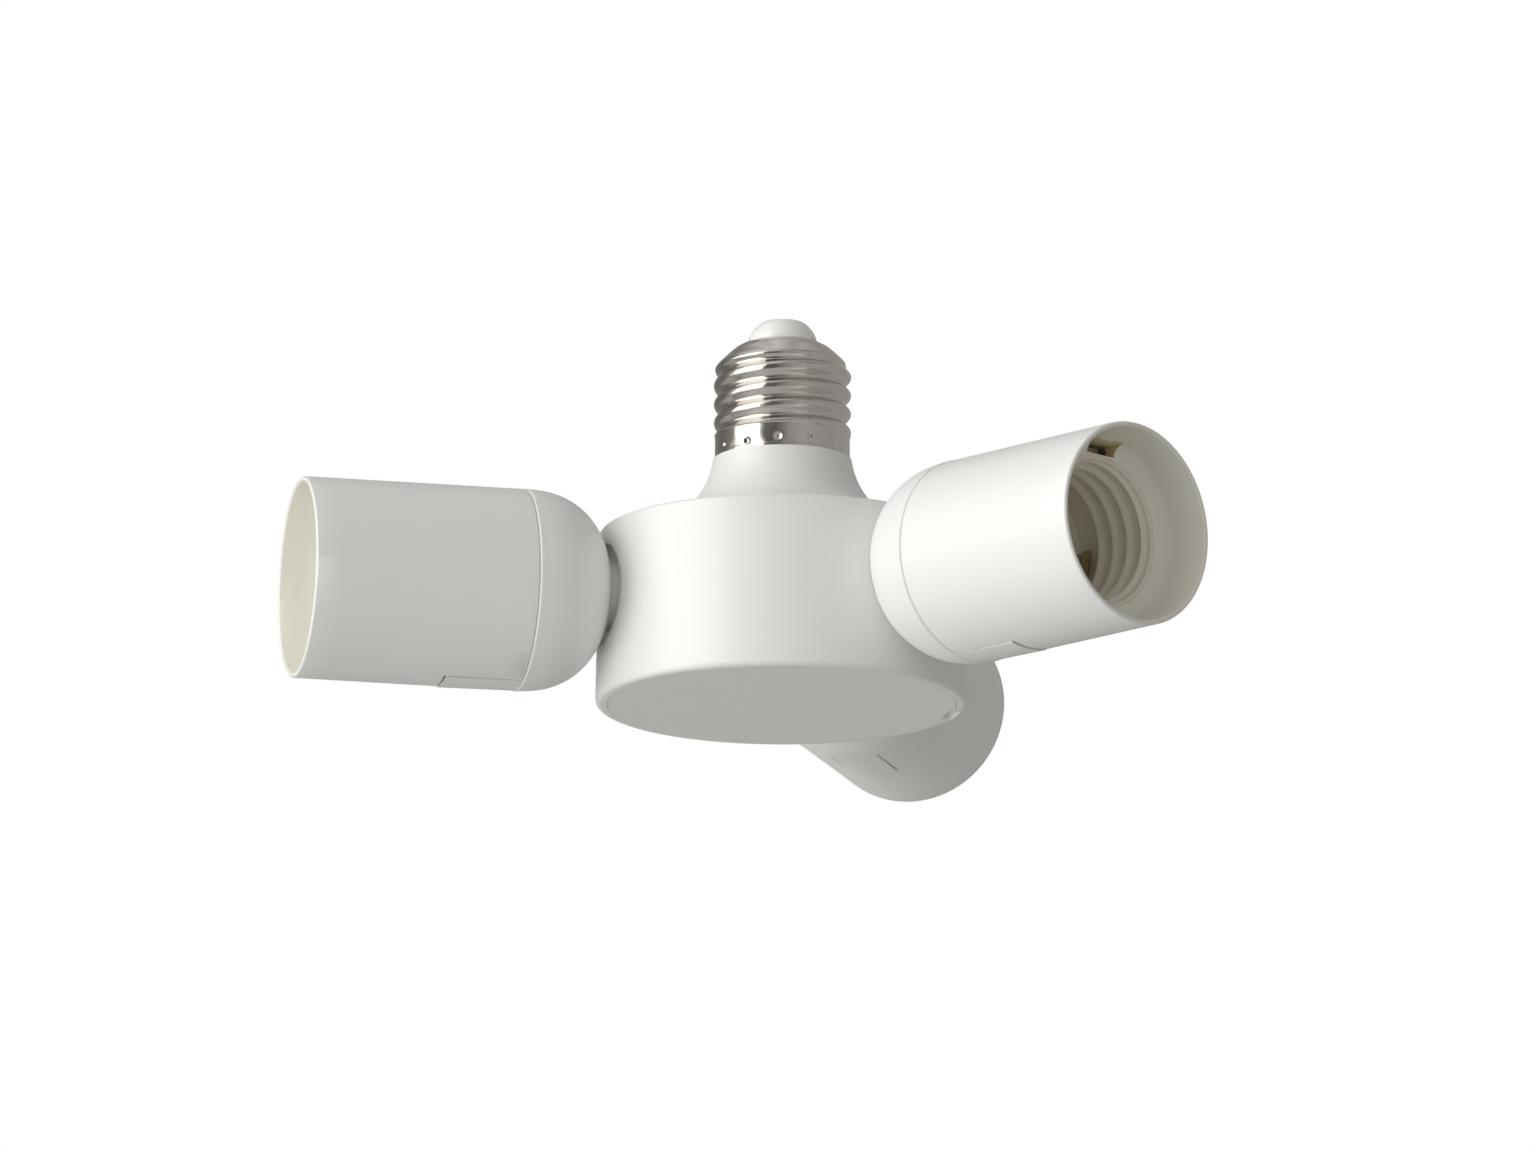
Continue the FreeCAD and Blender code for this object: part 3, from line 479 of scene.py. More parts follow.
# The tree's steps: the name of a result, its node, the node's settings, and the results that feed it
THREAD_STEPS = (
    ("angle", MATH, {"operation": "ARCTAN2"}, {0: "Y", 1: "X"}),
    ("x squared", MATH, {"operation": "MULTIPLY"}, {0: "X", 1: "X"}),
    ("y squared", MATH, {"operation": "MULTIPLY"}, {0: "Y", 1: "Y"}),
    ("radius squared", MATH, {"operation": "ADD"}, {0: "x squared", 1: "y squared"}),
    ("radius", MATH, {"operation": "SQRT"}, {0: "radius squared"}),
    # The helix: a wave whose phase falls one turn for each turn round and rises one turn for each pitch
    ("past crest", MATH, {"operation": "SUBTRACT"}, {0: "angle", 1: "Crest Angle"}),
    ("turns round", MATH, {"operation": "DIVIDE", 1: FULL_TURN}, {0: "past crest"}),
    ("above crest", MATH, {"operation": "SUBTRACT"}, {0: "Z", 1: "Crest Height"}),
    ("pitches up", MATH, {"operation": "DIVIDE"}, {0: "above crest", 1: "Pitch"}),
    ("waves passed", MATH, {"operation": "SUBTRACT"}, {0: "pitches up", 1: "turns round"}),
    ("phase", MATH, {"operation": "MULTIPLY", 1: FULL_TURN}, {0: "waves passed"}),
    ("cosine", MATH, {"operation": "COSINE"}, {0: "phase"}),
    ("double wave", MATH, {"operation": "SUBTRACT", 0: 1.0}, {1: "cosine"}),
    ("wave", MATH, {"operation": "MULTIPLY", 1: 0.5}, {0: "double wave"}),
    ("groove", MATH, {"operation": "POWER"}, {0: "wave", 1: "Crest Sharpness"}),
    # Where the thread runs: between its ends, with a soft start and finish, and on the wanted wall only
    ("full from", MATH, {"operation": "ADD"}, {0: "Thread Low", 1: "Run In"}),
    ("full to", MATH, {"operation": "SUBTRACT"}, {0: "Thread High", 1: "Run Out"}),
    (
        "run in",
        MAP_RANGE,
        {"interpolation_type": "SMOOTHSTEP"},
        {"Value": "Z", "From Min": "Thread Low", "From Max": "full from"},
    ),
    (
        "run out",
        MAP_RANGE,
        {"interpolation_type": "SMOOTHSTEP"},
        {"Value": "Z", "From Min": "Thread High", "From Max": "full to"},
    ),
    ("both runs", MATH, {"operation": "MULTIPLY"}, {0: "run in", 1: "run out"}),
    ("past least", MATH, {"operation": "GREATER_THAN"}, {0: "radius", 1: "Least Radius"}),
    ("before most", MATH, {"operation": "LESS_THAN"}, {0: "radius", 1: "Most Radius"}),
    ("on wall", MATH, {"operation": "MULTIPLY"}, {0: "past least", 1: "before most"}),
    ("amount", MATH, {"operation": "MULTIPLY"}, {0: "both runs", 1: "on wall"}),
    ("groove here", MATH, {"operation": "MULTIPLY"}, {0: "groove", 1: "amount"}),
    ("thread move", MATH, {"operation": "MULTIPLY"}, {0: "groove here", 1: "Depth"}),
    # The crimp marks: evenly spaced round the skirt, each a little off in height and size
    ("past first mark", MATH, {"operation": "SUBTRACT"}, {0: "angle", 1: "Crimp Angle"}),
    ("share round", MATH, {"operation": "DIVIDE", 1: FULL_TURN}, {0: "past first mark"}),
    ("marks passed", MATH, {"operation": "MULTIPLY"}, {0: "share round", 1: "Crimp Count"}),
    ("half mark on", MATH, {"operation": "ADD", 1: 0.5}, {0: "marks passed"}),
    ("part of mark", MATH, {"operation": "FRACT"}, {0: "half mark on"}),
    ("from mark", MATH, {"operation": "SUBTRACT", 1: 0.5}, {0: "part of mark"}),
    ("whole marks", MATH, {"operation": "FLOOR"}, {0: "half mark on"}),
    ("mark", MATH, {"operation": "FLOORED_MODULO"}, {0: "whole marks", 1: "Crimp Count"}),
    ("size seed", MATH, {"operation": "ADD", 1: SIZE_SEED_STEP}, {0: "Seed"}),
    (
        "chance of height",
        RANDOM_VALUE,
        {"data_type": "FLOAT", 2: -1.0, 3: 1.0},
        {"ID": "mark", "Seed": "Seed"},
    ),
    (
        "chance of size",
        RANDOM_VALUE,
        {"data_type": "FLOAT", 2: -1.0, 3: 1.0},
        {"ID": "mark", "Seed": "size seed"},
    ),
    ("drift", MATH, {"operation": "MULTIPLY"}, {0: "chance of height", 1: "Crimp Drift"}),
    ("spread", MATH, {"operation": "MULTIPLY_ADD", 1: CRIMP_SIZE_SPREAD, 2: 1.0}, {0: "chance of size"}),
    ("size here", MATH, {"operation": "MULTIPLY"}, {0: "Crimp Size", 1: "spread"}),
    ("turn from mark", MATH, {"operation": "DIVIDE"}, {0: "from mark", 1: "Crimp Count"}),
    ("way round", MATH, {"operation": "MULTIPLY", 1: FULL_TURN}, {0: "radius"}),
    ("along", MATH, {"operation": "MULTIPLY"}, {0: "turn from mark", 1: "way round"}),
    ("above marks", MATH, {"operation": "SUBTRACT"}, {0: "Z", 1: "Crimp Height"}),
    ("upward", MATH, {"operation": "SUBTRACT"}, {0: "above marks", 1: "drift"}),
    ("along squared", MATH, {"operation": "MULTIPLY"}, {0: "along", 1: "along"}),
    ("upward squared", MATH, {"operation": "MULTIPLY"}, {0: "upward", 1: "upward"}),
    ("away squared", MATH, {"operation": "ADD"}, {0: "along squared", 1: "upward squared"}),
    ("away", MATH, {"operation": "SQRT"}, {0: "away squared"}),
    (
        "dent",
        MAP_RANGE,
        {"interpolation_type": "SMOOTHSTEP", "To Min": -1.0, "To Max": 0.0},
        {"Value": "away", "From Max": "size here"},
    ),
    ("dent move", MATH, {"operation": "MULTIPLY"}, {0: "dent", 1: "Crimp Depth"}),
    # Both moves together, straight out from the axis
    ("move", MATH, {"operation": "ADD"}, {0: "thread move", 1: "dent move"}),
    ("divisor", MATH, {"operation": "MAXIMUM", 1: AXIS_GUARD}, {0: "radius"}),
    ("share", MATH, {"operation": "DIVIDE"}, {0: "move", 1: "divisor"}),
    ("x move", MATH, {"operation": "MULTIPLY"}, {0: "X", 1: "share"}),
    ("y move", MATH, {"operation": "MULTIPLY"}, {0: "Y", 1: "share"}),
    ("offset", "ShaderNodeCombineXYZ", {}, {"X": "x move", "Y": "y move"}),
    ("moved", "GeometryNodeSetPosition", {}, {"Geometry": "Geometry", "Offset": "offset"}),
    ("real", "GeometryNodeRealizeInstances", {}, {"Geometry": "moved"}),
    ("painted", "GeometryNodeSetMaterial", {}, {"Geometry": "real", "Material": "Finish"}),
)


def rolled_thread_tree():
    """Moves a turned wall in and out along a helix with a run-in and a run-out, and dents crimp marks."""
    tree = bpy.data.node_groups.new("rolled_thread", "GeometryNodeTree")
    sockets = tree.interface
    sockets.new_socket("Geometry", in_out="INPUT", socket_type="NodeSocketGeometry")
    for label, value in THREAD_INPUTS:
        sockets.new_socket(label, in_out="INPUT", socket_type="NodeSocketFloat").default_value = value
    sockets.new_socket("Seed", in_out="INPUT", socket_type="NodeSocketInt").default_value = CRIMP_SEED
    sockets.new_socket("Finish", in_out="INPUT", socket_type="NodeSocketMaterial")
    sockets.new_socket("Geometry", in_out="OUTPUT", socket_type="NodeSocketGeometry")
    results = {socket.name: socket for socket in add(tree, "NodeGroupInput").outputs}
    position = add(tree, "GeometryNodeInputPosition").outputs[0]
    spot = add(tree, "ShaderNodeSeparateXYZ", links={0: position}).outputs
    for axis in "XYZ":
        results[axis] = spot[axis]
    for result, kind, settings, sources in THREAD_STEPS:
        made = add(tree, kind, settings, {key: results[source] for key, source in sources.items()})
        results[result] = made.outputs[RESULT_AT.get(kind, 0)]
    add(tree, "NodeGroupOutput", links={0: results["painted"]})
    return tree


def baked(mesh, tree, inputs):
    """Runs a tree of Geometry Nodes on a mesh and returns the plain mesh that comes out."""
    carrier = bpy.data.objects.new("carrier", mesh)
    bpy.context.scene.collection.objects.link(carrier)
    modifier = carrier.modifiers.new("form", "NODES")
    modifier.node_group = tree
    for item in tree.interface.items_tree:
        if item.item_type == "SOCKET" and item.in_out == "INPUT" and item.name in inputs:
            modifier[item.identifier] = inputs[item.name]
    graph = bpy.context.evaluated_depsgraph_get()
    result = bpy.data.meshes.new_from_object(carrier.evaluated_get(graph))
    bpy.data.objects.remove(carrier)
    return result


ROLLED_THREAD = rolled_thread_tree()

# The nickel screw shell, by height and radius. The step is the length of its skin's facets.

SKIRT_FOOT = 47.6
SKIRT_TOP = 52.05
SKIRT_RADIUS = 12.8
FOOT_RADIUS = 12.92
CREST_RADIUS = 13.05
SHELL_WALL = 0.35
SHELL_STEP = 0.27
SHELL_SEGMENTS = 352
CORNER_STEPS = 3

# The sheet's outside from the skirt's foot to the rim round the nose: radius, height and bend
SHELL_OUTSIDE = [
    (FOOT_RADIUS, SKIRT_FOOT, 0.12),
    (FOOT_RADIUS, SKIRT_FOOT + 0.5, 0.06),
    (SKIRT_RADIUS, SKIRT_FOOT + 0.62, 0.06),
    (SKIRT_RADIUS, SKIRT_TOP, 0.15),
    (CREST_RADIUS - 0.05, SKIRT_TOP + 0.3, 0.15),
    (CREST_RADIUS, 64.5, 2.0),
    (12.8, 65.6, 1.2),
    (12.05, 66.55, 1.2),
    (11.0, 67.5, 1.5),
    (10.05, 68.45, 1.5),
    (9.05, 69.3, 1.5),
    (7.8, 70.0, 1.5),
    (6.8, 70.38, 0.12),
]


def rolled_shell():
    """The base's nickel shell: one thin skin, rolled into crimped skirt, thread and shoulder."""
    inside = []
    befores = SHELL_OUTSIDE[:1] + SHELL_OUTSIDE
    afters = SHELL_OUTSIDE[1:] + SHELL_OUTSIDE[-1:]
    for before, here, after in zip(befores, SHELL_OUTSIDE, afters):
        along = (Vector(after[:2]) - Vector(before[:2])).normalized()
        inside.append((here[0] - along.y * SHELL_WALL, here[1] + along.x * SHELL_WALL, here[2]))
    skin = divided(rounded(SHELL_OUTSIDE + inside[::-1], CORNER_STEPS), SHELL_STEP)
    mesh = baked(spun(skin, SHELL_SEGMENTS), ROLLED_THREAD, {
        "Depth": -0.95 * MM,
        "Thread Low": (SKIRT_TOP + 0.1) * MM,
        "Thread High": 67.3 * MM,
        "Run In": 0.7 * MM,
        "Run Out": 2.6 * MM,
        "Crest Height": 62.14 * MM,
        "Crest Angle": math.radians(196),
        "Crest Sharpness": 1.35,
        "Crimp Angle": math.radians(282.5),
        "Crimp Height": 49.5 * MM,
        "Crimp Size": 0.85 * MM,
        "Crimp Depth": 0.42 * MM,
        "Crimp Drift": 0.95 * MM,
        "Finish": PLATED_NICKEL,
    })
    place("rolled_screw_shell", smoothed(mesh, TURNED_CREASE), PLATED_NICKEL, "nickel", "screw_shell")


# The holders' inserts, by reach along a holder's axis and radius about it

INSERT_BACK = 57.0
FLANGE_FRONT = 59.3
WELL_FLOOR = 62.3
LAMP_FLOOR = 65.3
THREAD_FOOT = 69.8
CREST_REACH = 82.35
LEDGE_FACE = 81.98
INSERT_FRONT = 83.95
WELL_RADIUS = 13.2
VALLEY_RADIUS = 13.4
RELIEF_RADIUS = 13.7
RING_RADIUS = 14.24
BARREL_RADIUS = 15.2
FLANGE_RADIUS = 17.2
INSERT_STEP = 0.24
INSERT_SEGMENTS = 256

INSERT_OUTLINE = [
    (WELL_RADIUS, INSERT_BACK, 0.2),
    (FLANGE_RADIUS, INSERT_BACK, 0.2),
    (FLANGE_RADIUS, FLANGE_FRONT, 0.2),
    (BARREL_RADIUS, FLANGE_FRONT, 0.2),
    (BARREL_RADIUS, LEDGE_FACE, 0.15),
    (RING_RADIUS, LEDGE_FACE, 0.0),
    (RING_RADIUS, INSERT_FRONT, 0.05),
    (VALLEY_RADIUS, INSERT_FRONT - 0.01, 0.3),
    (VALLEY_RADIUS, THREAD_FOOT, 0.2),
    (RELIEF_RADIUS, THREAD_FOOT, 0.2),
    (RELIEF_RADIUS, LAMP_FLOOR, 0.5),
    (0.0, LAMP_FLOOR, 0.0),
    (0.0, WELL_FLOOR, 0.0),
    (WELL_RADIUS, WELL_FLOOR, 0.4),
]

# Slits in the floor for the two spring leaves: where each starts and ends across, and its half length
SLIT_OVERCUT = 1.0
CENTRE_SLIT = (-7.9, -7.25, 3.05)
SIDE_SLIT = (12.1, 12.75, 2.55)
SIDE_SLIT_TURN = -8.0

# Pockets in the barrel's front edge and the snap lugs behind them, each one above the axis and below
# it: half width, inner and outer height, back and front
WINDOW_POCKET = (3.45, 14.45, 15.35, 80.4, 82.4)
SNAP_LUG = (3.35, 14.9, 16.7, 77.6, 80.2)


def box_mesh(low, high):
    """A block between two corners."""
    mesh = bpy.data.meshes.new("block")
    work = bmesh.new()
    bmesh.ops.create_cube(work, size=1.0)
    for vertex in work.verts:
        sides = zip(vertex.co, low, high)
        vertex.co = Vector([(most if corner > 0 else least) * MM for corner, least, most in sides])
    work.to_mesh(mesh)
    work.free()
    return mesh


def box_pair(half_width, inner, outer, back, front):
    """The same block above a holder's axis and below it."""
    thickness = outer - inner
    lows = (inner, -outer)
    return [box_mesh((-half_width, low, back), (half_width, low + thickness, front)) for low in lows]


def floor_slit(slit):
    """A block that cuts a slit through the insert's floor."""
    start, end, half_length = slit
    return box_mesh(
        (start, -half_length, WELL_FLOOR - SLIT_OVERCUT),
        (end, half_length, LAMP_FLOOR + SLIT_OVERCUT),
    )


def cut_and_joined(mesh, jobs):
    """Takes blocks away from a closed mesh, or adds them to it."""
    carrier = bpy.data.objects.new("carrier", mesh)
    bpy.context.scene.collection.objects.link(carrier)
    tools = []
    for operation, block in jobs:
        tool = bpy.data.objects.new("tool", block)
        bpy.context.scene.collection.objects.link(tool)
        tools.append(tool)
        modifier = carrier.modifiers.new("cut", "BOOLEAN")
        modifier.operation = operation
        modifier.solver = "EXACT"
        modifier.object = tool
    graph = bpy.context.evaluated_depsgraph_get()
    result = bpy.data.meshes.new_from_object(carrier.evaluated_get(graph))
    for made in [carrier] + tools:
        bpy.data.objects.remove(made)
    return result


def in_bore(start, end):
    """Whether an edge of the insert's outline is in the threaded bore, which alone needs fine rings."""
    return max(start[0], end[0]) < RELIEF_RADIUS + 0.2 and min(start[1], end[1]) > THREAD_FOOT - 0.3


def insert_mesh():
    """A holder's insert in its own frame: open inside thread, face ring, floor with its slits, and lugs."""
    skin = divided(rounded(INSERT_OUTLINE, CORNER_STEPS), INSERT_STEP, in_bore)
    mesh = baked(spun(skin, INSERT_SEGMENTS), ROLLED_THREAD, {
        "Depth": -1.0 * MM,
        "Thread Low": THREAD_FOOT * MM,
        "Thread High": 83.5 * MM,
        "Run In": 1.2 * MM,
        "Run Out": 1.0 * MM,
        "Crest Height": (CREST_REACH + THREAD_PITCH / 2) * MM,
        "Crest Angle": 0.0,
        "Least Radius": 12.0 * MM,
        "Most Radius": 13.65 * MM,
        "Crest Sharpness": 2.5,
        "Finish": FILLED_POLYESTER,
    })
    side_slit = floor_slit(SIDE_SLIT)
    side_slit.transform(Matrix.Rotation(math.radians(SIDE_SLIT_TURN), 4, "Z"))
    cuts = [floor_slit(CENTRE_SLIT), side_slit] + box_pair(*WINDOW_POCKET)
    jobs = [("DIFFERENCE", block) for block in cuts]
    jobs += [("UNION", block) for block in box_pair(*SNAP_LUG)]
    return cut_and_joined(smoothed(mesh, TURNED_CREASE), jobs)


def threaded_inserts():
    """The same insert stands in all three holders, painted darker as shade where its lugs show in the
    windows.
    """
    pattern = insert_mesh()
    for n in HOLDERS:
        mesh = pattern.copy()
        mesh.transform(holder_frame(n))
        mesh = smoothed(mesh, TURNED_CREASE)
        place("threaded_insert_%d" % n, mesh, FILLED_POLYESTER, "insert_plastic", "lamp_insert_%d" % n)
        mesh.materials.append(WINDOW_SHADE_POLYCARBONATE)
        back = holder_frame(n).inverted()
        for face in mesh.polygons:
            face.material_index = 1 if in_window(back @ face.center / MM) else 0


def dress_parts():
    """Gives every node its finish, and puts the scene's own pieces in place of those seen close."""
    for node, piece in PARTS.items():
        piece.data.materials.clear()
        piece.data.materials.append(finish_of(node))
    refine("housing", "white_plastic")
    refine("bottom_cover", "white_plastic")
    refine("contact_insulator", "insulator")
    rolled_shell()
    threaded_inserts()
    for n in HOLDERS:
        refine("dome_cap_%d" % n, "white_plastic", lift_tongue)
        refine("sleeve_%d" % n, "white_plastic", paint_mouth_shade)


# Camera

# How far the part is turned in the photograph, and how far below level it is seen from, in degrees
PHOTO_TURN = 16.042
PHOTO_BELOW = 12.534
PHOTO_DISTANCE = 1.9061
YAW_PITCH_ROLL = (-0.082, 13.271, 0.148)
FOCAL_PIXELS = 10100
PHOTO_WIDTH_PIXELS = 1536
SENSOR_WIDTH = 36


def make_camera():
    """The photograph's view: a long lens from a little below the object's underside."""
    turn = math.radians(PHOTO_TURN)
    below = math.radians(PHOTO_BELOW)
    yaw, pitch, roll = (math.radians(v) for v in YAW_PITCH_ROLL)
    ahead = Vector((math.sin(yaw) * math.cos(pitch), math.cos(yaw) * math.cos(pitch), math.sin(pitch)))
    level = Vector((math.cos(yaw), -math.sin(yaw), 0.0))
    upward = level.cross(ahead)
    right = level * math.cos(roll) + upward * math.sin(roll)
    up = upward * math.cos(roll) - level * math.sin(roll)
    swing = Matrix.Rotation(turn, 3, "Z")
    eye = swing @ (Vector((0.0, -math.cos(below), -math.sin(below))) * PHOTO_DISTANCE)
    axes = Matrix((swing @ right, swing @ up, swing @ -ahead)).transposed()
    data = bpy.data.cameras.new("photo_camera")
    data.lens = FOCAL_PIXELS / PHOTO_WIDTH_PIXELS * SENSOR_WIDTH
    data.sensor_width = SENSOR_WIDTH
    data.clip_start, data.clip_end = 0.05, 20
    camera = bpy.data.objects.new("photo_camera", data)
    camera.matrix_world = Matrix.Translation(eye) @ axes.to_4x4()
    bpy.context.scene.collection.objects.link(camera)
    bpy.context.scene.camera = camera


# Light: a room that is bright on the window's side, and three soft lamps for the window

# Bearings are degrees round the object in the photograph: 0 is its right, 180 its left, 270 the camera.
WINDOW_BEARING = 209
LEFT_BEARING = 180
DARK_SIDE = (0.262, 0.252, 0.232, 1.0)
BRIGHT_SIDE = (0.555, 0.555, 0.553, 1.0)

# Name, bearing, degrees up, width, height and power of each lamp, and its colour
WINDOW_LAMPS = (
    ("window_middle", 213, 2, 2.1, 1.2, 16.5, "#FFFFFE"),
    ("window_high", 200, 32, 1.3, 1.0, 9.2, "#FFFFFD"),
    ("window_low", 200, -28, 1.1, 1.0, 5.8, "#FFFFFD"),
)
LAMP_DISTANCE = 2.0
LAMPS_AIM = Vector((0, 0, 0.03))

# What metal sees round it, by bearing: its tone is 1 for white. The bright stretch is the window, and the
# dim one after it the dark side of the room in front of the object.
ROOM_TONES = (
    (0, 0.42), (60, 0.42), (100, 0.28), (150, 0.18), (172, 0.26), (183, 2.0), (233, 2.7), (237, 0.12),
    (256, 0.11), (276, 0.36), (300, 0.50), (359, 0.42),
)
ROOM_WARMTH = (1.0, 0.985, 0.965)
ROOM_RADIUS = 1.2
CEILING_FROM = 0.8
CEILING_FULL = 1.12
CEILING_PATCHES = 2.2
CEILING_DIMMEST = 0.2
CEILING_BRIGHTEST = 0.95

# The floor lies just under the cover. Reflections see the room's tones in it from the object's edge
# outwards. The lift is what it gives the camera on top of its paint, so that it looks pale.
FLOOR_DROP = 0.0004
FLOOR_HALF_WIDTH = 4.0
SHEEN_FROM = 0.09
SHEEN_FULL = 0.22
FLOOR_LIFT = 0.21


def photo_side(bearing, elevation, distance):
    """A place round the object by its bearing in the photograph."""
    turn = math.radians(bearing + PHOTO_TURN)
    rise = math.radians(elevation)
    level = math.cos(rise)
    return Vector((math.cos(turn) * level, math.sin(turn) * level, math.sin(rise))) * distance


def seen_directly(tree):
    """1 for what the camera, a reflection or clear plastic sees, and 0 for light that falls on things."""
    path = add(tree, "ShaderNodeLightPath").outputs
    seen = path["Is Camera Ray"]
    for other in ("Is Glossy Ray", "Is Transmission Ray"):
        seen = add(tree, "ShaderNodeMath", {"operation": "MAXIMUM"}, {0: seen, 1: path[other]}).outputs[0]
    return seen


def toward(tree, where, bearing):
    """How far a place lies towards a bearing."""
    side = photo_side(bearing, 0, 1.0)
    facing = add(tree, "ShaderNodeVectorMath", {"operation": "DOT_PRODUCT", 1: side}, {0: where})
    return facing.outputs["Value"]


def tones_around(tree, where):
    """The room's tones on a surface that lies or stands round the object."""
    turn = (0.0, 0.0, math.radians(-PHOTO_TURN))
    turned = add(tree, "ShaderNodeMapping", {"Rotation": turn}, {"Vector": where})
    around = add(
        tree,
        "ShaderNodeTexGradient",
        {"gradient_type": "RADIAL"},
        {"Vector": turned.outputs["Vector"]},
    )
    ramp = add(tree, "ShaderNodeValToRGB", links={"Fac": around.outputs["Fac"]})
    stops = ramp.color_ramp.elements
    while len(stops) < len(ROOM_TONES):
        stops.new(0.5)
    # The gradient starts opposite the photograph's right, so each bearing moves on by half a turn
    for stop, (degrees, tone) in zip(stops, sorted(((a + 180) % 360, t) for a, t in ROOM_TONES)):
        stop.position = degrees / 360
        stop.color = tuple(tone * share for share in ROOM_WARMTH) + (1.0,)
    return ramp.outputs["Color"]


def make_world():
    """White where the camera, metal or clear plastic sees it, and a softer grey as room light."""
    world = bpy.data.worlds.new("white_room")
    bpy.context.scene.world = world
    world.use_nodes = True
    tree = world.node_tree
    tree.nodes.clear()
    white = add(tree, "ShaderNodeBackground", {"Color": (1.0, 1.0, 1.0, 1.0), "Strength": 1.0})
    share = add(
        tree,
        "ShaderNodeMapRange",
        {"From Min": -1.0, "From Max": 1.0},
        {"Value": toward(tree, add(tree, "ShaderNodeTexCoord").outputs["Generated"], WINDOW_BEARING)},
    ).outputs["Result"]
    light = add(tree, "ShaderNodeMix", {"data_type": "RGBA", 6: DARK_SIDE, 7: BRIGHT_SIDE}, {0: share})
    room = add(tree, "ShaderNodeBackground", {"Strength": 1.0}, {"Color": light.outputs[2]})
    mixed = add(
        tree,
        "ShaderNodeMixShader",
        links={0: seen_directly(tree), 1: room.outputs[0], 2: white.outputs[0]},
    )
    add(tree, "ShaderNodeOutputWorld", links={"Surface": mixed.outputs[0]})


def set_piece(name, work, material):
    """Links a piece of the set, which is no part of the object."""
    mesh = bpy.data.meshes.new(name)
    work.to_mesh(mesh)
    work.free()
    mesh.materials.append(material)
    made = bpy.data.objects.new(name, mesh)
    bpy.context.scene.collection.objects.link(made)
    return made


def make_floor():
    """A pale floor under the cover. It is open from below, so the low camera sees past it."""
    material, tree, output, where = new_material("pale_floor")
    path = add(tree, "ShaderNodeLightPath").outputs
    under = add(tree, "ShaderNodeNewGeometry").outputs["Backfacing"]
    shown = add(
        tree,
        "ShaderNodeMath",
        {"operation": "SUBTRACT", "use_clamp": True},
        {0: seen_directly(tree), 1: under},
    ).outputs[0]
    cloud = add(tree, "ShaderNodeTexNoise", {"Scale": 3.0, "Detail": 2.0}, {"Vector": where})
    tone = add(
        tree,
        "ShaderNodeMix",
        {"data_type": "RGBA", 6: linear("#F7F7F5"), 7: linear("#F3F3F1")},
        {0: cloud.outputs["Fac"]},
    )
    paint = add(tree, "ShaderNodeBsdfDiffuse", links={"Color": tone.outputs[2]})
    lift = add(
        tree,
        "ShaderNodeMath",
        {"operation": "MULTIPLY", 1: FLOOR_LIFT},
        {0: path["Is Camera Ray"]},
    ).outputs[0]
    lift = add(tree, "ShaderNodeEmission", {"Color": (1.0, 1.0, 1.0, 1.0)}, {"Strength": lift})
    paint = add(tree, "ShaderNodeAddShader", links={0: paint.outputs[0], 1: lift.outputs[0]})
    sheen = add(tree, "ShaderNodeEmission", links={"Color": tones_around(tree, where)})
    away = add(tree, "ShaderNodeVectorMath", {"operation": "LENGTH"}, {0: where}).outputs["Value"]
    far = add(
        tree,
        "ShaderNodeMapRange",
        {"interpolation_type": "SMOOTHSTEP", "From Min": SHEEN_FROM, "From Max": SHEEN_FULL},
        {"Value": away},
    ).outputs["Result"]
    far = add(tree, "ShaderNodeMath", {"operation": "MULTIPLY"}, {0: path["Is Glossy Ray"], 1: far})
    paint = add(
        tree,
        "ShaderNodeMixShader",
        links={0: far.outputs[0], 1: paint.outputs[0], 2: sheen.outputs[0]},
    )
    clear = add(tree, "ShaderNodeBsdfTransparent")
    mixed = add(tree, "ShaderNodeMixShader", links={0: shown, 1: clear.outputs[0], 2: paint.outputs[0]})
    tree.links.new(mixed.outputs[0], output.inputs["Surface"])
    work = bmesh.new()
    bmesh.ops.create_grid(work, x_segments=1, y_segments=1, size=FLOOR_HALF_WIDTH)
    bmesh.ops.translate(work, verts=work.verts, vec=(0, 0, -FLOOR_DROP))
    floor = set_piece("floor", work, material)


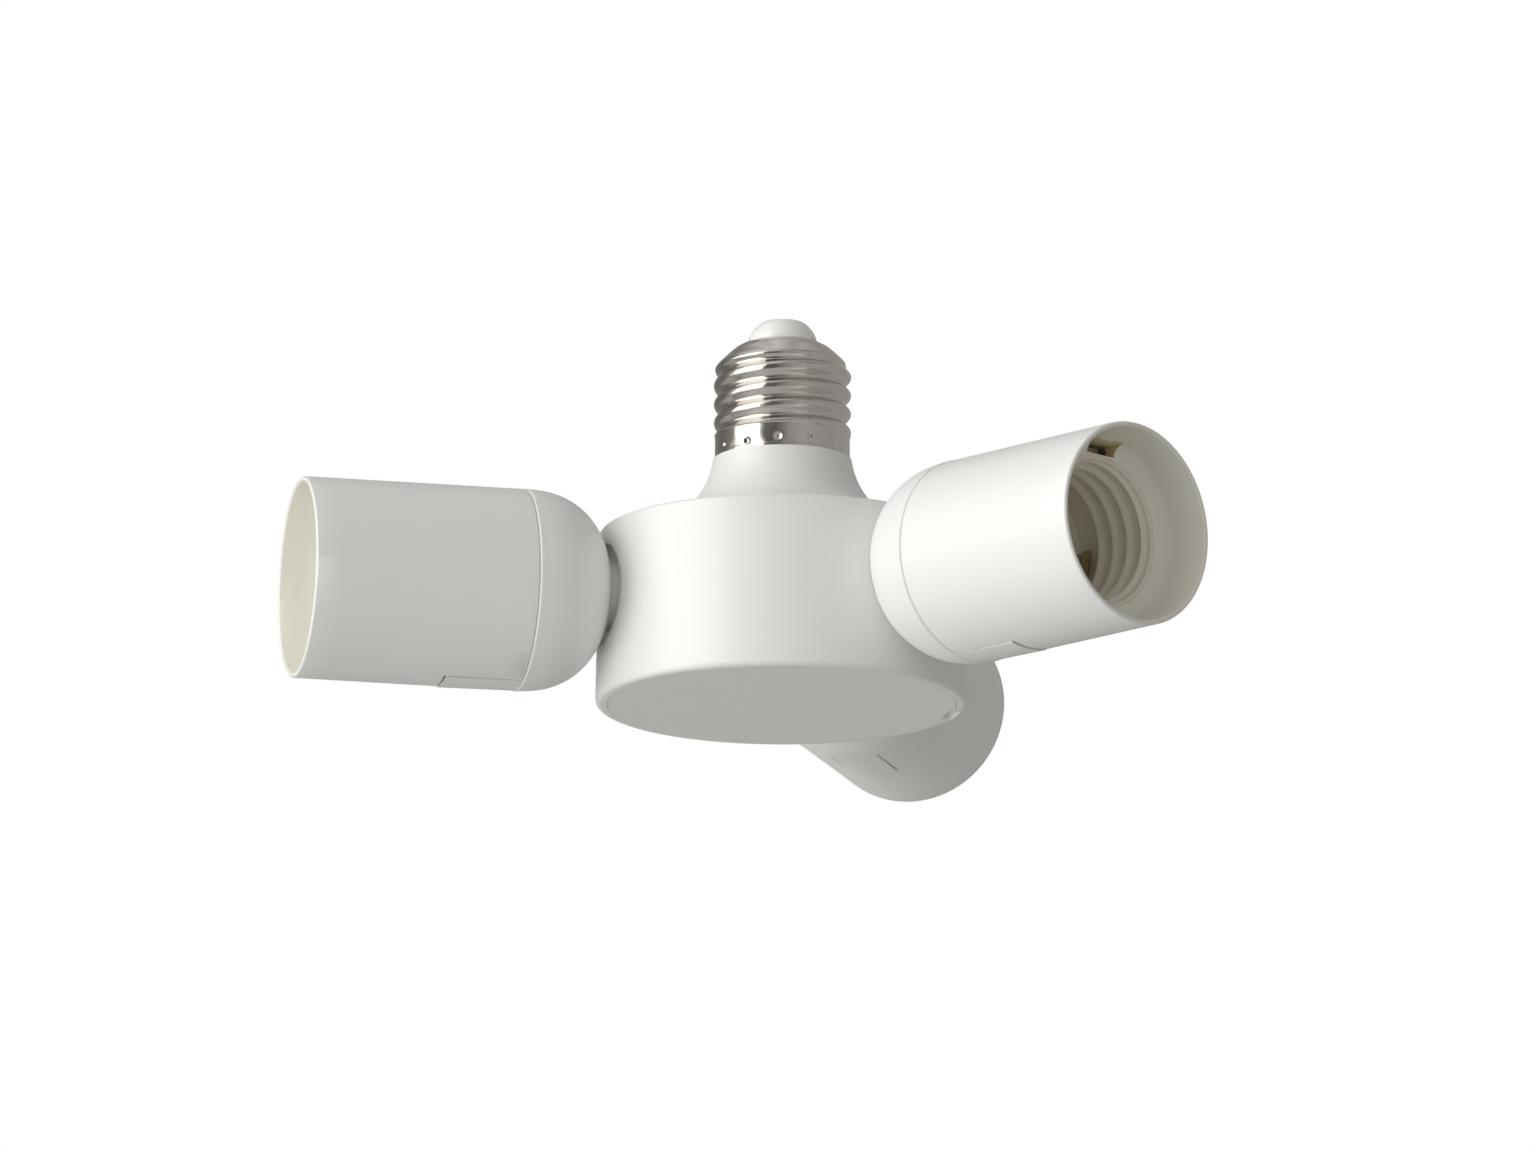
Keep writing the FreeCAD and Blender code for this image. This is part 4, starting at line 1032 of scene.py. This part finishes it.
def make_reflected_room():
    """A round room that only reflections see: its tones round about, and a patchy ceiling."""
    material, tree, output, where = new_material("reflected_room")
    height = add(tree, "ShaderNodeSeparateXYZ", links={0: where}).outputs["Z"]
    ceiling = add(
        tree,
        "ShaderNodeMapRange",
        {"interpolation_type": "SMOOTHSTEP", "From Min": CEILING_FROM, "From Max": CEILING_FULL},
        {"Value": height},
    ).outputs["Result"]
    patches = add(tree, "ShaderNodeTexNoise", {"Scale": 3.5, "Detail": 1.0}, {"Vector": where})
    overhead = add(
        tree,
        "ShaderNodeMath",
        {"operation": "MULTIPLY_ADD", 1: CEILING_PATCHES},
        {0: patches.outputs["Fac"], 2: toward(tree, where, LEFT_BEARING)},
    ).outputs[0]
    overhead = add(
        tree,
        "ShaderNodeMapRange",
        {"From Min": 0.3, "From Max": 1.7, "To Min": CEILING_DIMMEST, "To Max": CEILING_BRIGHTEST},
        {"Value": overhead},
    ).outputs["Result"]
    tone = add(
        tree,
        "ShaderNodeMix",
        {"data_type": "RGBA"},
        {0: ceiling, 6: tones_around(tree, where), 7: overhead},
    )
    glow = add(tree, "ShaderNodeEmission", links={"Color": tone.outputs[2]})
    clear = add(tree, "ShaderNodeBsdfTransparent")
    mirrored = add(tree, "ShaderNodeLightPath").outputs["Is Glossy Ray"]
    mixed = add(tree, "ShaderNodeMixShader", links={0: mirrored, 1: clear.outputs[0], 2: glow.outputs[0]})
    tree.links.new(mixed.outputs[0], output.inputs["Surface"])
    work = bmesh.new()
    bmesh.ops.create_uvsphere(work, u_segments=96, v_segments=48, radius=ROOM_RADIUS)
    wall = set_piece("reflected_room", work, material)
    wall.visible_diffuse = wall.visible_shadow = wall.visible_camera = wall.visible_transmission = False


def soft_light(name, bearing, elevation, width, height, power, tint):
    """A soft rectangular lamp that looks at the object."""
    data = bpy.data.lights.new(name, "AREA")
    data.shape = "RECTANGLE"
    data.size, data.size_y = width, height
    data.energy = power
    data.color = linear(tint)[:3]
    lamp = bpy.data.objects.new(name, data)
    lamp.location = LAMPS_AIM + photo_side(bearing, elevation, LAMP_DISTANCE)
    lamp.rotation_euler = (LAMPS_AIM - lamp.location).to_track_quat("-Z", "Y").to_euler()
    bpy.context.scene.collection.objects.link(lamp)


dress_parts()
make_camera()
make_world()
make_floor()
make_reflected_room()
for lamp_values in WINDOW_LAMPS:
    soft_light(*lamp_values)
bpy.context.scene.view_settings.view_transform = "Standard"
